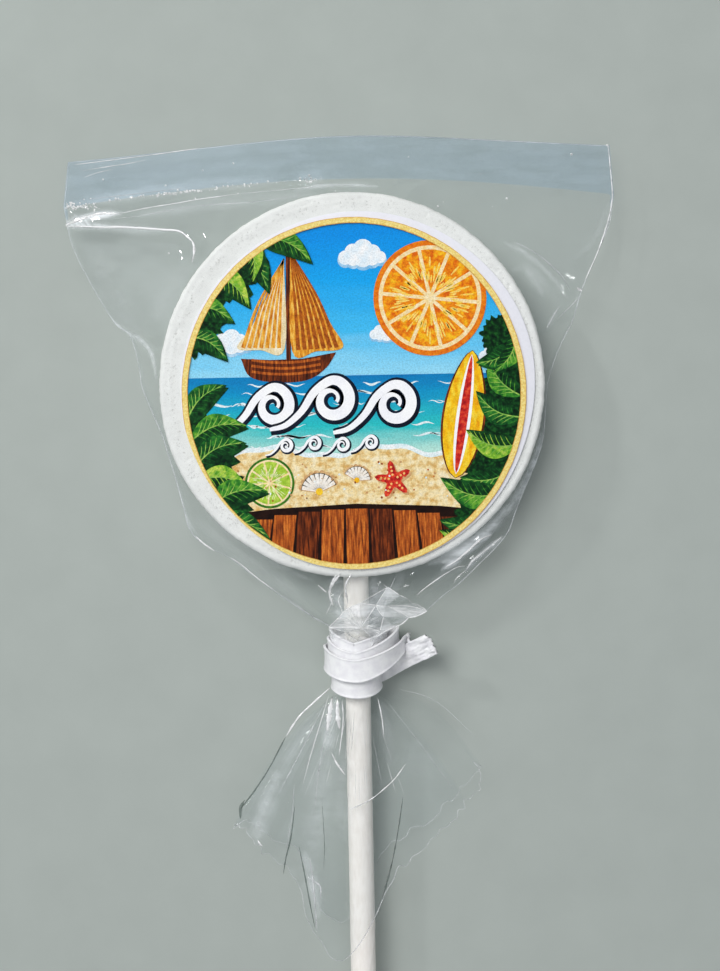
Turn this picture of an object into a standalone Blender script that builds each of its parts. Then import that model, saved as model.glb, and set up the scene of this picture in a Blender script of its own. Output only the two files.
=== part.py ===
"""A disc lollipop in a clear film bag, lying on its back with the stick along -Y.

Metres, +Z up. The origin is the middle of the disc, on the surface that the bag's back lies on.
"""

import math

import bmesh
import bpy
from mathutils import Vector
from mathutils.geometry import interpolate_bezier

MM = 0.001

# The candy disc and its stick
DISC_DIAMETER = 63.5 * MM
DISC_THICKNESS = 10.0 * MM
DISC_EDGE_RADIUS = 2.0 * MM
DISC_SIDES = 72
STICK_DIAMETER = 4.37 * MM
STICK_LENGTH = 152.4 * MM
STICK_IN_DISC = 30.0 * MM
STICK_END_ROUNDING = 0.35 * MM

# The film, drawn thicker than the real 0.05 mm so that it is a wall, and the gap between pieces
FILM = 0.4 * MM
GAP = 0.3 * MM

# The sticker on the front of the bag, a little off the disc's middle
LABEL_DIAMETER = 59.4 * MM
LABEL_THICKNESS = 0.3 * MM
LABEL_CENTRE = (0.9 * MM, -1.2 * MM)

# The bag's outline seen from the front, as runs between corners, in millimetres
SEAL_TOP = ((44.8, 40.5), (26.0, 41.4), (0.0, 42.2), (-25.0, 41.0), (-47.9, 39.4))
SEAL_LEFT_END = ((-47.9, 39.4), (-48.7, 31.8))
LEFT_EDGE = (
    (-48.7, 31.8),
    (-45.0, 19.8),
    (-40.4, 11.8),
    (-34.6, 6.2),
    (-32.9, -2.0),
    (-31.3, -11.0),
    (-29.5, -18.5),
    (-26.4, -25.0),
    (-18.5, -30.6),
    (-4.9, -40.6),
)
NECK_EDGE = ((-4.9, -40.6), (-3.2, -41.2), (3.6, -41.2), (11.9, -38.4))
RIGHT_EDGE = (
    (11.9, -38.4),
    (20.6, -30.2),
    (29.0, -22.6),
    (32.2, -12.0),
    (33.2, -2.9),
    (36.0, 6.5),
    (40.6, 16.6),
    (44.6, 27.6),
    (45.3, 32.0),
)
SEAL_RIGHT_END = ((45.3, 32.0), (44.8, 40.5))
SEAL_LINE_HEIGHT = 35.4 * MM
SEAL_LINE_DROP = 3.4 * MM
SEAL_THICKNESS = 0.5 * MM
EDGE_WELD = 0.7 * MM
EDGE_THICKNESS = 0.7 * MM
SEAL_BOW = 1.6 * MM
BOW_START = 10.0 * MM
BOW_END = 40.0 * MM
OUTLINE_HALF_WIDTH = 48.0 * MM
TENT_RAYS = 96

# The gathered neck and the open end of the bag, which spreads below the tie like a skirt
NECK_RADIUS = 3.3 * MM
NECK_BORE = 2.6 * MM
BORE_OVERLAP = 4.0 * MM
NECK_TOP = -37.5 * MM
NECK_END = -52.3 * MM
SKIRT_SIDES = 54
SKIRT_STEPS = 9
SKIRT_LEFT_ANGLE = math.radians(46)
SKIRT_RIGHT_ANGLE = math.radians(-60)
SKIRT_LENGTH = 28.0 * MM
SKIRT_LENGTH_PER_RADIAN = 3.4 * MM
TONGUE_LENGTH = 13.0 * MM
TONGUE_ANGLE = math.radians(6)
TONGUE_SPREAD = math.radians(12)
FRONT_LONGER = 0.05
FLARE_START = 0.05
SKIRT_HALF_HEIGHT = 4.2 * MM
SKIRT_WALL = 0.5 * MM
PLEATS = 9
PLEAT_DEPTH = 0.8 * MM

# The flat tie: its turns from the inside out, each as radius, reach to the right, and the height of
# its middle line at the sides and at the front
TIE_WIDTH = 3.9 * MM
TIE_THICKNESS = 0.35 * MM
TIE_TURNS = (
    (3.95 * MM, 4.3 * MM, -49.1 * MM, -50.5 * MM),
    (4.45 * MM, 5.3 * MM, -43.5 * MM, -44.9 * MM),
    (4.95 * MM, 6.6 * MM, -44.8 * MM, -46.6 * MM),
    (5.45 * MM, 7.8 * MM, -45.5 * MM, -48.0 * MM),
)
TIE_STEPS = 12
TIE_DROOP_POWER = 1.3
TIE_BULGE_POWER = 1.5
TAIL = ((12.6, -43.6, 4.4), (7.6, -46.7, 3.2), (3.2, -49.7, 2.0))
TAIL_END_SLANT = 0.9 * MM
TAIL_TURN_START = 260
TAIL_TURN_STEP = 27
TAIL_LOWERING = (1.0 * MM, 0.5 * MM, 0)
TIE_END = ((8.2, -44.6, 4.2), (7.9, -43.6, 2.9))

# Worked out from the sizes above
DISC_RADIUS = DISC_DIAMETER / 2
STICK_RADIUS = STICK_DIAMETER / 2
DISC_BOTTOM = FILM + GAP
AXIS_Z = DISC_BOTTOM + DISC_THICKNESS / 2
BAG_TOP = 2 * AXIS_Z
LABEL_BOTTOM = BAG_TOP + GAP


def clear_scene():
    for item in list(bpy.data.objects):
        bpy.data.objects.remove(item, do_unlink=True)


def new_collection(name, helper=False):
    collection = bpy.data.collections.new(name)
    collection.hide_render = helper
    bpy.context.scene.collection.children.link(collection)
    return collection


def material(name, color, roughness, alpha=1.0):
    made = bpy.data.materials.new(name)
    made.use_nodes = True
    shader = made.node_tree.nodes["Principled BSDF"]
    shader.inputs["Base Color"].default_value = (*color, 1.0)
    shader.inputs["Roughness"].default_value = roughness
    shader.inputs["Metallic"].default_value = 0.0
    shader.inputs["Alpha"].default_value = alpha
    return made


def put_in(item, collection):
    for other in list(item.users_collection):
        other.objects.unlink(item)
    collection.objects.link(item)


def object_from_bmesh(name, mesh, collection):
    bmesh.ops.recalc_face_normals(mesh, faces=mesh.faces)
    data = bpy.data.meshes.new(name)
    mesh.to_mesh(data)
    mesh.free()
    item = bpy.data.objects.new(name, data)
    collection.objects.link(item)
    return item


def cylinder(name, radius, depth, sides, location, collection, along_y=False):
    bpy.ops.mesh.primitive_cylinder_add(
        vertices=sides,
        radius=radius,
        depth=depth,
        location=location,
        rotation=(math.pi / 2 if along_y else 0, 0, 0),
    )
    item = bpy.context.active_object
    item.name = name
    item.data.name = name
    put_in(item, collection)
    return item


def round_edges(item, width, segments):
    bevel = item.modifiers.new("rounded edge", "BEVEL")
    bevel.width = width
    bevel.segments = segments
    bevel.limit_method = "ANGLE"
    bevel.angle_limit = math.radians(60)


def boolean(item, other, operation):
    step = item.modifiers.new(f"{operation.lower()} {other.name}", "BOOLEAN")
    step.operation = operation
    step.solver = "EXACT"
    step.object = other


def hide_helper(item):
    item.hide_render = True
    item.display_type = "WIRE"


def smooth(item, degrees=35):
    item.data.shade_smooth()
    item.data.set_sharp_from_angle(angle=math.radians(degrees))


def stick_cylinder(name, clearance, top, bottom, sides, collection):
    """A cylinder on the stick's axis, from the height top down to bottom."""
    return cylinder(
        name,
        STICK_RADIUS + clearance,
        top - bottom,
        sides,
        (0, (top + bottom) / 2, AXIS_Z),
        collection,
        along_y=True,
    )


def disc_cylinder(name, clearance, collection):
    """The candy's own form, or that form grown by a clearance on every side."""
    item = cylinder(
        name,
        DISC_RADIUS + clearance,
        DISC_THICKNESS + 2 * clearance,
        DISC_SIDES,
        (0, 0, AXIS_Z),
        collection,
    )
    round_edges(item, DISC_EDGE_RADIUS + clearance, 3)
    return item


def make_candy(parts, cutters):
    candy = disc_cylinder("candy", 0, parts)
    socket = stick_cylinder(
        "stick socket",
        GAP,
        STICK_IN_DISC - DISC_RADIUS + GAP,
        -DISC_RADIUS - BORE_OVERLAP,
        24,
        cutters,
    )
    hide_helper(socket)
    boolean(candy, socket, "DIFFERENCE")
    candy.data.materials.append(material("white candy", (0.83, 0.85, 0.83), 0.75))
    smooth(candy)
    return candy


def make_stick(parts):
    top = STICK_IN_DISC - DISC_RADIUS
    stick = stick_cylinder("stick", 0, top, top - STICK_LENGTH, 24, parts)
    round_edges(stick, STICK_END_ROUNDING, 2)
    stick.data.materials.append(material("rolled paper", (0.84, 0.81, 0.75), 0.8))
    smooth(stick)
    return stick


def make_label(parts):
    label = cylinder(
        "label",
        LABEL_DIAMETER / 2,
        LABEL_THICKNESS,
        DISC_SIDES,
        (*LABEL_CENTRE, LABEL_BOTTOM + LABEL_THICKNESS / 2),
        parts,
    )
    label.data.materials.append(material("printed paper", (0.10, 0.55, 0.80), 0.35))
    smooth(label)
    return label


def smooth_run(points, per_span=6):
    """A smooth curve through a run's points, straight where the run has only two."""
    spots = [Vector((x * MM, y * MM, 0)) for x, y in points]
    if len(spots) == 2:
        return spots
    slopes = [spots[1] - spots[0]]
    slopes += [(after - before) / 2 for before, after in zip(spots, spots[2:])]
    slopes.append(spots[-1] - spots[-2])
    curve = []
    for index in range(len(spots) - 1):
        start, end = spots[index], spots[index + 1]
        handle_out = start + slopes[index] / 3
        handle_in = end - slopes[index + 1] / 3
        curve += interpolate_bezier(start, handle_out, handle_in, end, per_span)[:-1]
    return curve + [spots[-1]]


def bag_outline():
    """The bag's outline in order round the disc, anticlockwise from the seal's right end."""
    outline = []
    for run in (SEAL_TOP, SEAL_LEFT_END, LEFT_EDGE, NECK_EDGE, RIGHT_EDGE, SEAL_RIGHT_END):
        outline += smooth_run(run)[:-1]
    return outline


def reach(outline, angle):
    """How far the outline is from the disc's middle in a direction."""
    along = Vector((math.cos(angle), math.sin(angle), 0))
    across = Vector((-along.y, along.x, 0))
    for start, end in zip(outline, outline[1:] + outline[:1]):
        before, after = start.dot(across), end.dot(across)
        if before <= 0 < after:
            share = before / (before - after)
            return start.lerp(end, share).dot(along)
    raise ValueError("the outline has a gap")


def seal_line(x):
    """The height of the heat seal's lower edge, which arches a little."""
    return SEAL_LINE_HEIGHT - SEAL_LINE_DROP * (x / OUTLINE_HALF_WIDTH) ** 2


def seal_reach(angle, limit):
    """How far the seal's lower edge is from the middle, or None where a ray misses the seal."""
    if math.sin(angle) <= 0:
        return None
    distance = SEAL_LINE_HEIGHT
    for _ in range(12):
        distance = seal_line(distance * math.cos(angle)) / math.sin(angle)
        if distance > 2 * OUTLINE_HALF_WIDTH:
            return None
    return distance if distance < limit - EDGE_WELD else None


def edge_height(x, y):
    """Where the two films meet, level at the disc and bowed up in the middle of the seal."""
    share = min(max((y - BOW_START) / (BOW_END - BOW_START), 0), 1)
    return AXIS_Z + SEAL_BOW * share * math.cos(math.pi * x / OUTLINE_HALF_WIDTH)


def neck_opening(x, y):
    """Half the distance between the films, which stand round the stick where they enter the neck."""
    if y > 0 or abs(x) >= NECK_RADIUS:
        return 0
    return math.sqrt(NECK_RADIUS**2 - x**2)


def film_profile(angle, distance, seal_distance):
    """One film from the disc's face to the bag's edge, as (distance, height over the edge plane).

    It follows the disc's rounded rim, leaves it on a tangent, and runs straight to where the films meet.
    """
    rim_radius = DISC_EDGE_RADIUS + GAP + FILM
    rim_distance = DISC_RADIUS - DISC_EDGE_RADIUS
    rim_height = AXIS_Z - rim_radius
    meet = seal_distance or distance - EDGE_WELD
    x, y = meet * math.cos(angle), meet * math.sin(angle)
    meet_height = max(EDGE_THICKNESS / 2, neck_opening(x, y))
    run, drop = meet - rim_distance, meet_height - rim_height
    leave = math.atan2(drop, run) + math.acos(min(rim_radius / math.hypot(run, drop), 1))
    leave = min(max(leave, 0), math.pi / 2)
    profile = []
    for share in (0, 0.5, 1):
        turn = math.pi / 2 + share * (leave - math.pi / 2)
        profile.append(
            (rim_distance + rim_radius * math.cos(turn), rim_height + rim_radius * math.sin(turn))
        )
    profile.append((meet, meet_height))
    profile.append((distance, max(SEAL_THICKNESS / 2, meet_height - EDGE_WELD)))
    return profile


def make_tent(cutters):
    """The bag round the disc: two films that lie on the disc's faces and meet along the outline."""
    outline = bag_outline()
    corners = (SEAL_TOP[0], SEAL_TOP[-1], LEFT_EDGE[0], LEFT_EDGE[-1], RIGHT_EDGE[0], RIGHT_EDGE[-1])
    corner_angles = [math.atan2(y, x) % math.tau for x, y in corners]
    spacing = math.tau / TENT_RAYS
    even_angles = [index * spacing for index in range(TENT_RAYS)]
    angles = corner_angles + [
        angle for angle in even_angles if min(abs(angle - corner) for corner in corner_angles) > spacing / 3
    ]
    mesh = bmesh.new()
    columns = []
    for angle in sorted(angles):
        distance = reach(outline, angle)
        profile = film_profile(angle, distance, seal_reach(angle, distance))
        column = []
        for side in (1, -1):
            points = profile if side == 1 else reversed(profile)
            for away, height in points:
                x, y = away * math.cos(angle), away * math.sin(angle)
                share = min(max((away - DISC_RADIUS) / (profile[-2][0] - DISC_RADIUS), 0), 1)
                middle = AXIS_Z + share * (edge_height(x, y) - AXIS_Z)
                column.append(mesh.verts.new((x, y, middle + side * height)))
        columns.append(column)
    front = mesh.verts.new((0, 0, BAG_TOP))
    back = mesh.verts.new((0, 0, 0))
    for column, after in zip(columns, columns[1:] + columns[:1]):
        mesh.faces.new((front, column[0], after[0]))
        mesh.faces.new((back, after[-1], column[-1]))
        for row in range(len(column) - 1):
            mesh.faces.new((column[row], column[row + 1], after[row + 1], after[row]))
    return object_from_bmesh("bag round the disc", mesh, cutters)


def skirt_point(turn, share, wall):
    """A point of the skirt: turn goes round the stick from the right, share from neck to hem."""
    middle = (SKIRT_LEFT_ANGLE + SKIRT_RIGHT_ANGLE) / 2
    half = (SKIRT_LEFT_ANGLE - SKIRT_RIGHT_ANGLE) / 2
    angle = middle - half * math.cos(turn)
    tongue = math.exp(-(((angle - TONGUE_ANGLE) / TONGUE_SPREAD) ** 2))
    length = SKIRT_LENGTH + SKIRT_LENGTH_PER_RADIAN * angle + TONGUE_LENGTH * tongue
    away = share * length * (1 + FRONT_LONGER * math.sin(turn))
    flare = share / (share + FLARE_START)
    neck = (NECK_RADIUS if wall == 0 else NECK_BORE) * (1 - share)
    height = neck + (SKIRT_HALF_HEIGHT - wall) * share
    pleat = PLEAT_DEPTH * share * math.sin(PLEATS * turn)
    x = (neck - wall * share) * math.cos(turn) - away * math.sin(angle) * flare
    y = NECK_END - away * math.cos(angle)
    return (x, y, AXIS_Z + height * math.sin(turn) + pleat)


def make_skirt(cutters):
    """The gathered neck round the stick and the pleated open end, one wall with a bore through it."""
    mesh = bmesh.new()
    turns = [index * math.tau / SKIRT_SIDES for index in range(SKIRT_SIDES)]
    rings = []
    for wall in (0, SKIRT_WALL):
        radius = NECK_RADIUS if wall == 0 else NECK_BORE
        layer = [
            [(radius * math.cos(t), NECK_TOP, AXIS_Z + radius * math.sin(t)) for t in turns]
        ]
        for step in range(SKIRT_STEPS + 1):
            layer.append([skirt_point(t, step / SKIRT_STEPS, wall) for t in turns])
        rings += layer if wall == 0 else layer[::-1]
    loops = [[mesh.verts.new(point) for point in ring] for ring in rings]
    for loop, after in zip(loops, loops[1:] + loops[:1]):
        for index in range(SKIRT_SIDES):
            beside = (index + 1) % SKIRT_SIDES
            mesh.faces.new((loop[index], loop[beside], after[beside], after[index]))
    return object_from_bmesh("skirt", mesh, cutters)


def make_bag(parts, cutters):
    bag = make_tent(cutters)
    bag.name = bag.data.name = "bag"
    put_in(bag, parts)
    pocket = disc_cylinder("candy pocket", GAP, cutters)
    bore_top = -DISC_RADIUS + BORE_OVERLAP
    bore_bottom = NECK_EDGE[1][1] * MM - BORE_OVERLAP
    bore = stick_cylinder("stick bore", GAP, bore_top, bore_bottom, 32, cutters)
    skirt = make_skirt(cutters)
    for helper in (pocket, bore, skirt):
        hide_helper(helper)
    boolean(bag, pocket, "DIFFERENCE")
    boolean(bag, bore, "DIFFERENCE")
    boolean(bag, skirt, "UNION")
    bag.data.materials.append(material("clear film", (0.86, 0.90, 0.88), 0.08, alpha=0.3))
    smooth(bag)
    return bag


def tie_path():
    """The tie's middle line from its torn tail, round the neck four times, to its other end."""
    spots = [Vector(point) * MM for point in TAIL]
    radius, _, side_y, _ = TIE_TURNS[0]
    for step in range(len(TAIL_LOWERING)):
        turn = math.radians(TAIL_TURN_START - TAIL_TURN_STEP * step)
        y = side_y - TAIL_LOWERING[step]
        spots.append(Vector((radius * math.cos(turn), y, AXIS_Z + radius * math.sin(turn))))
    for index, (radius, right, side_y, front_y) in enumerate(TIE_TURNS):
        following = TIE_TURNS[min(index + 1, len(TIE_TURNS) - 1)]
        last = index == len(TIE_TURNS) - 1
        for step in range(TIE_STEPS if last else 2 * TIE_STEPS):
            turn = math.pi - math.pi * step / TIE_STEPS
            share = min(max(step / TIE_STEPS - 1, 0), 1)
            share = share * share * (3 - 2 * share)
            ring = radius + share * (following[0] - radius)
            bulge = right - radius + share * (following[1] - following[0] - right + radius)
            y = side_y + share * (following[2] - side_y)
            y += (front_y - side_y) * max(math.sin(turn), 0) ** TIE_DROOP_POWER
            x = ring * math.cos(turn) + bulge * max(math.cos(turn), 0) ** TIE_BULGE_POWER
            spots.append(Vector((x, y, AXIS_Z + ring * math.sin(turn))))
    return spots + [Vector(point) * MM for point in TIE_END]


def make_tie(parts):
    """A flat band swept along its path, its flat side towards the neck."""
    path = tie_path()
    mesh = bmesh.new()
    rings = []
    for index, spot in enumerate(path):
        before = path[max(index - 1, 0)]
        after = path[min(index + 1, len(path) - 1)]
        along = (after - before).normalized()
        outward = Vector((spot.x, 0, spot.z - AXIS_Z)).normalized()
        if index < len(TAIL):
            outward = Vector((0, 0, -1))
        width = along.cross(outward).normalized()
        if width.y < 0:
            width = -width
        normal = width.cross(along).normalized()
        half = width * TIE_WIDTH / 2
        skin = normal * TIE_THICKNESS / 2
        slant = along * TAIL_END_SLANT if index == 0 else Vector()
        corners = (half + skin + slant, half - skin + slant, -half - skin - slant, -half + skin - slant)
        rings.append([mesh.verts.new(spot + corner) for corner in corners])
    for ring, after in zip(rings, rings[1:]):
        for index in range(4):
            beside = (index + 1) % 4
            mesh.faces.new((ring[index], ring[beside], after[beside], after[index]))
    mesh.faces.new(rings[0][::-1])
    mesh.faces.new(rings[-1])
    tie = object_from_bmesh("tie", mesh, parts)
    tie.data.materials.append(material("white tie band", (0.80, 0.82, 0.88), 0.4))
    smooth(tie)
    return tie


clear_scene()
parts_collection = new_collection("bagged disc lollipop")
cutter_collection = new_collection("cutters", helper=True)
make_candy(parts_collection, cutter_collection)
make_stick(parts_collection)
make_bag(parts_collection, cutter_collection)
make_label(parts_collection)
make_tie(parts_collection)
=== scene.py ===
import math
import random

import bpy
import numpy as np
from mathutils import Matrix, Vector
from mathutils.geometry import interpolate_bezier, tessellate_polygon


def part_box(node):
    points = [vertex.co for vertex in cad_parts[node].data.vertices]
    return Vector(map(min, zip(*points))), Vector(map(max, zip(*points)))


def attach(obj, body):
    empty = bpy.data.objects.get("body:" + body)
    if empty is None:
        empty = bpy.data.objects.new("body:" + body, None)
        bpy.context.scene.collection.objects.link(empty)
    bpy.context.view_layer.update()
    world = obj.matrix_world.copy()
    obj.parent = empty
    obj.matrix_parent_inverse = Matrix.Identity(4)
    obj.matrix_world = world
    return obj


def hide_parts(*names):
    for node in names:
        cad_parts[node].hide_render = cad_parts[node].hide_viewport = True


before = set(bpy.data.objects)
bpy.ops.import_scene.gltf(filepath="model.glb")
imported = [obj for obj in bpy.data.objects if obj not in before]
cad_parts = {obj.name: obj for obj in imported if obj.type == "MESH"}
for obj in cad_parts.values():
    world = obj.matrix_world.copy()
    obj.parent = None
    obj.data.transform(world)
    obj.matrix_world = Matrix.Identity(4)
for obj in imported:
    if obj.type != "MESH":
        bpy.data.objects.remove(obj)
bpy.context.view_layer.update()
print("frame loaded:", ", ".join(sorted(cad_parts)))

mm = 0.001  # every shape below is worked out in millimetres, and becomes metres in meshPiece

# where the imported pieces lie, in millimetres
candyLow, candyHigh = [[value / mm for value in corner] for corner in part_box("candy")]
stickLow, stickHigh = [[value / mm for value in corner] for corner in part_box("stick")]
labelLow, labelHigh = [[value / mm for value in corner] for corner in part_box("label")]
discRadius = (candyHigh[0] - candyLow[0]) / 2 + 0.45
axisZ = (candyLow[2] + candyHigh[2]) / 2
stickRadius = (stickHigh[0] - stickLow[0]) / 2


def clearStartingObjects():
    for name in ("Cube", "Light", "Camera"):
        if name in bpy.data.objects:
            bpy.data.objects.remove(bpy.data.objects[name])


def screenColour(red, green, blue):
    # 0 to 255 as seen on a screen, to the linear values that a shader wants
    shares = [value / 255 for value in (red, green, blue)]
    return tuple(s / 12.92 if s <= 0.04045 else ((s + 0.055) / 1.055) ** 2.4 for s in shares)


def meshPiece(name, points, faces, paints, paintOf=None, smooth=True):
    data = bpy.data.meshes.new(name)
    data.from_pydata((np.asarray(points, float) * mm).tolist(), [], [list(map(int, f)) for f in faces])
    for paint in paints:
        data.materials.append(paint)
    if paintOf is not None:
        data.polygons.foreach_set("material_index", np.asarray(paintOf, int))
    data.polygons.foreach_set("use_smooth", [smooth] * len(data.polygons))
    data.validate()
    data.update()
    piece = bpy.data.objects.new(name, data)
    bpy.context.scene.collection.objects.link(piece)
    return piece


def onBody(piece, slotName, *nodes):
    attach(piece, "root")
    if nodes:
        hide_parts(*nodes)
    return piece


def gridFaces(rows, columns, start=0, wrap=False):
    # quads of a grid whose points run along each row in turn
    row = np.arange(rows - 1)[:, None]
    column = np.arange(columns if wrap else columns - 1)[None, :]
    beside = (column + 1) % columns
    here, above = row * columns, (row + 1) * columns
    corners = (here + column, here + beside, above + beside, above + column)
    return (np.stack(np.broadcast_arrays(*corners), -1).reshape(-1, 4) + start).tolist()


def fanFaces(centre, first, count, flip=False):
    faces = [[centre, first + i, first + (i + 1) % count] for i in range(count)]
    return [face[::-1] for face in faces] if flip else faces


def smoothCurve(points, perSpan=8):
    # a smooth curve through the points, in two or three dimensions
    spots = [Vector(point) if len(point) == 3 else Vector((*point, 0)) for point in points]
    if len(spots) == 2:
        return np.array([tuple(spots[0].lerp(spots[1], i / perSpan)) for i in range(perSpan + 1)])
    slopes = [spots[1] - spots[0]]
    slopes += [(after - before) / 2 for before, after in zip(spots, spots[2:])]
    slopes.append(spots[-1] - spots[-2])
    curve = []
    for i in range(len(spots) - 1):
        handleOut, handleIn = spots[i] + slopes[i] / 3, spots[i + 1] - slopes[i + 1] / 3
        curve += interpolate_bezier(spots[i], handleOut, handleIn, spots[i + 1], perSpan + 1)[:-1]
    return np.array([tuple(spot) for spot in curve + [spots[-1]]])


def fromPath(x, y, path):
    # each point's distance from a path, and the share of the path's length where it is nearest
    nearest, along = np.full(x.shape, 1e9), np.zeros(x.shape)
    steps = np.diff(path[:, :2], axis=0)
    lengths = np.hypot(steps[:, 0], steps[:, 1])
    total, done = lengths.sum(), 0.0
    for (startX, startY), (stepX, stepY), length in zip(path[:, :2], steps, lengths):
        if length < 1e-9:
            continue
        share = np.clip(((x - startX) * stepX + (y - startY) * stepY) / length**2, 0, 1)
        distance = np.hypot(x - startX - share * stepX, y - startY - share * stepY)
        closer = distance < nearest
        nearest = np.where(closer, distance, nearest)
        along = np.where(closer, (done + share * length) / total, along)
        done += length
    return nearest, along


def valueNoise(x, y, size, seed):
    # smooth random relief from -1 to 1, with lumps of about the given size
    table = np.random.default_rng(seed).uniform(-1, 1, (257, 257))
    u, v = np.asarray(x) / size + 900.5, np.asarray(y) / size + 900.5
    column, row = np.floor(u).astype(int), np.floor(v).astype(int)
    u, v = u - column, v - row
    u, v = u * u * (3 - 2 * u), v * v * (3 - 2 * v)
    column, row = column % 256, row % 256
    low = table[row, column] * (1 - u) + table[row, column + 1] * u
    high = table[row + 1, column] * (1 - u) + table[row + 1, column + 1] * u
    return low * (1 - v) + high * v


def tubeAlong(path, radii, sides=6, flatten=0.4):
    # points and faces of a thin, rather flat tube with closed ends
    path = np.asarray(path, float)
    along = np.gradient(path, axis=0)
    along /= np.maximum(np.linalg.norm(along, axis=1), 1e-9)[:, None]
    across = np.cross(along, (0.0, 0.0, 1.0))
    across /= np.maximum(np.linalg.norm(across, axis=1), 1e-9)[:, None]
    upward = np.cross(across, along)
    turns = np.arange(sides) / sides * math.tau
    ring = across[:, None] * np.cos(turns)[None, :, None]
    ring = ring + flatten * upward[:, None] * np.sin(turns)[None, :, None]
    points = (path[:, None] + ring * np.asarray(radii)[:, None, None]).reshape(-1, 3)
    faces = gridFaces(len(path), sides, wrap=True)
    faces += [list(range(sides))[::-1], [len(points) - sides + i for i in range(sides)]]
    return points, faces


# what the materials are made with


def newMaterial(name):
    made = bpy.data.materials.new(name)
    made.use_nodes = True
    nodes, links = made.node_tree.nodes, made.node_tree.links
    nodes.clear()
    output = nodes.new("ShaderNodeOutputMaterial")
    output.location = (900, 0)
    return made, nodes, links, output


def solidMaterial(name):
    # an opaque material, its shader already joined to the output
    made, nodes, links, output = newMaterial(name)
    shader = nodes.new("ShaderNodeBsdfPrincipled")
    links.new(shader.outputs["BSDF"], output.inputs["Surface"])
    return made, nodes, links, shader


def noiseTexture(nodes, links, size, detail=3, stretch=(1, 1, 1), roughness=0.55):
    # size is the lumps' size in millimetres
    coordinates = nodes.new("ShaderNodeTexCoord")
    mapping = nodes.new("ShaderNodeMapping")
    mapping.inputs["Scale"].default_value = stretch
    texture = nodes.new("ShaderNodeTexNoise")
    texture.inputs["Scale"].default_value = 1 / (size * mm)
    texture.inputs["Detail"].default_value = detail
    texture.inputs["Roughness"].default_value = roughness
    links.new(coordinates.outputs["Object"], mapping.inputs["Vector"])
    links.new(mapping.outputs["Vector"], texture.inputs["Vector"])
    return texture


def colourSteps(nodes, links, source, stops):
    ramp = nodes.new("ShaderNodeValToRGB")
    elements = ramp.color_ramp.elements
    while len(elements) < len(stops):
        elements.new(0.5)
    for element, (place, colour) in zip(elements, stops):
        element.position = place
        element.color = (*colour, 1)
    links.new(source, ramp.inputs["Fac"])
    return ramp.outputs["Color"]


def mixedColour(nodes, links, first, second, factor, blend="MIX"):
    mix = nodes.new("ShaderNodeMix")
    mix.data_type = "RGBA"
    mix.blend_type = blend
    for socket, value in (("Factor", factor), ("A", first), ("B", second)):
        target = [i for i in mix.inputs if i.name == socket and i.enabled][0]
        if isinstance(value, bpy.types.NodeSocket):
            links.new(value, target)
        elif socket == "Factor":
            target.default_value = value
        else:
            target.default_value = (*value, 1)
    return [o for o in mix.outputs if o.enabled][0]


def bumpFrom(nodes, links, source, depth, strength=0.5):
    bump = nodes.new("ShaderNodeBump")
    bump.inputs["Distance"].default_value = depth * mm
    bump.inputs["Strength"].default_value = strength
    links.new(source, bump.inputs["Height"])
    return bump.outputs["Normal"]


def scaled(nodes, links, source, low, high, fromLow=0.0, fromHigh=1.0):
    spread = nodes.new("ShaderNodeMapRange")
    spread.inputs["From Min"].default_value = fromLow
    spread.inputs["From Max"].default_value = fromHigh
    spread.inputs["To Min"].default_value = low
    spread.inputs["To Max"].default_value = high
    links.new(source, spread.inputs["Value"])
    return spread.outputs["Result"]


# camera, light and floor


viewSettings = {
    "cameraPlace": (1.0, -16.85, 243.5),
    "cameraRoll": -1.1,
    "lens": 51.9,
    "floorColour": (172, 179, 174),
    "keyPower": 5.0,
    "keySize": 0.45,
    "glintPower": 0.9,
    "glintSize": 0.055,
    "sidePower": 0.3,
    "softPower": 2.0,
    "skyAxis": (-0.52, 0.34, 0.78),
    "skySteps": ((0.0, 0.13), (0.8, 0.16), (0.9, 0.26), (1.0, 1.0)),
    "skyTint": (0.86, 0.92, 1.0),
}


def aimedLight(
    name, place, target, size, power, colour=(1, 1, 1), shape="SQUARE", sizeY=None, mirrored=True,
):
    data = bpy.data.lights.new(name, "AREA")
    data.shape = shape
    data.size = size
    if sizeY is not None:
        data.size_y = sizeY
    data.energy = power
    data.color = colour
    light = bpy.data.objects.new(name, data)
    light.location = place
    light.rotation_euler = (Vector(target) - Vector(place)).to_track_quat("-Z", "Y").to_euler()
    light.visible_glossy = mirrored
    bpy.context.scene.collection.objects.link(light)
    return light


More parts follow.
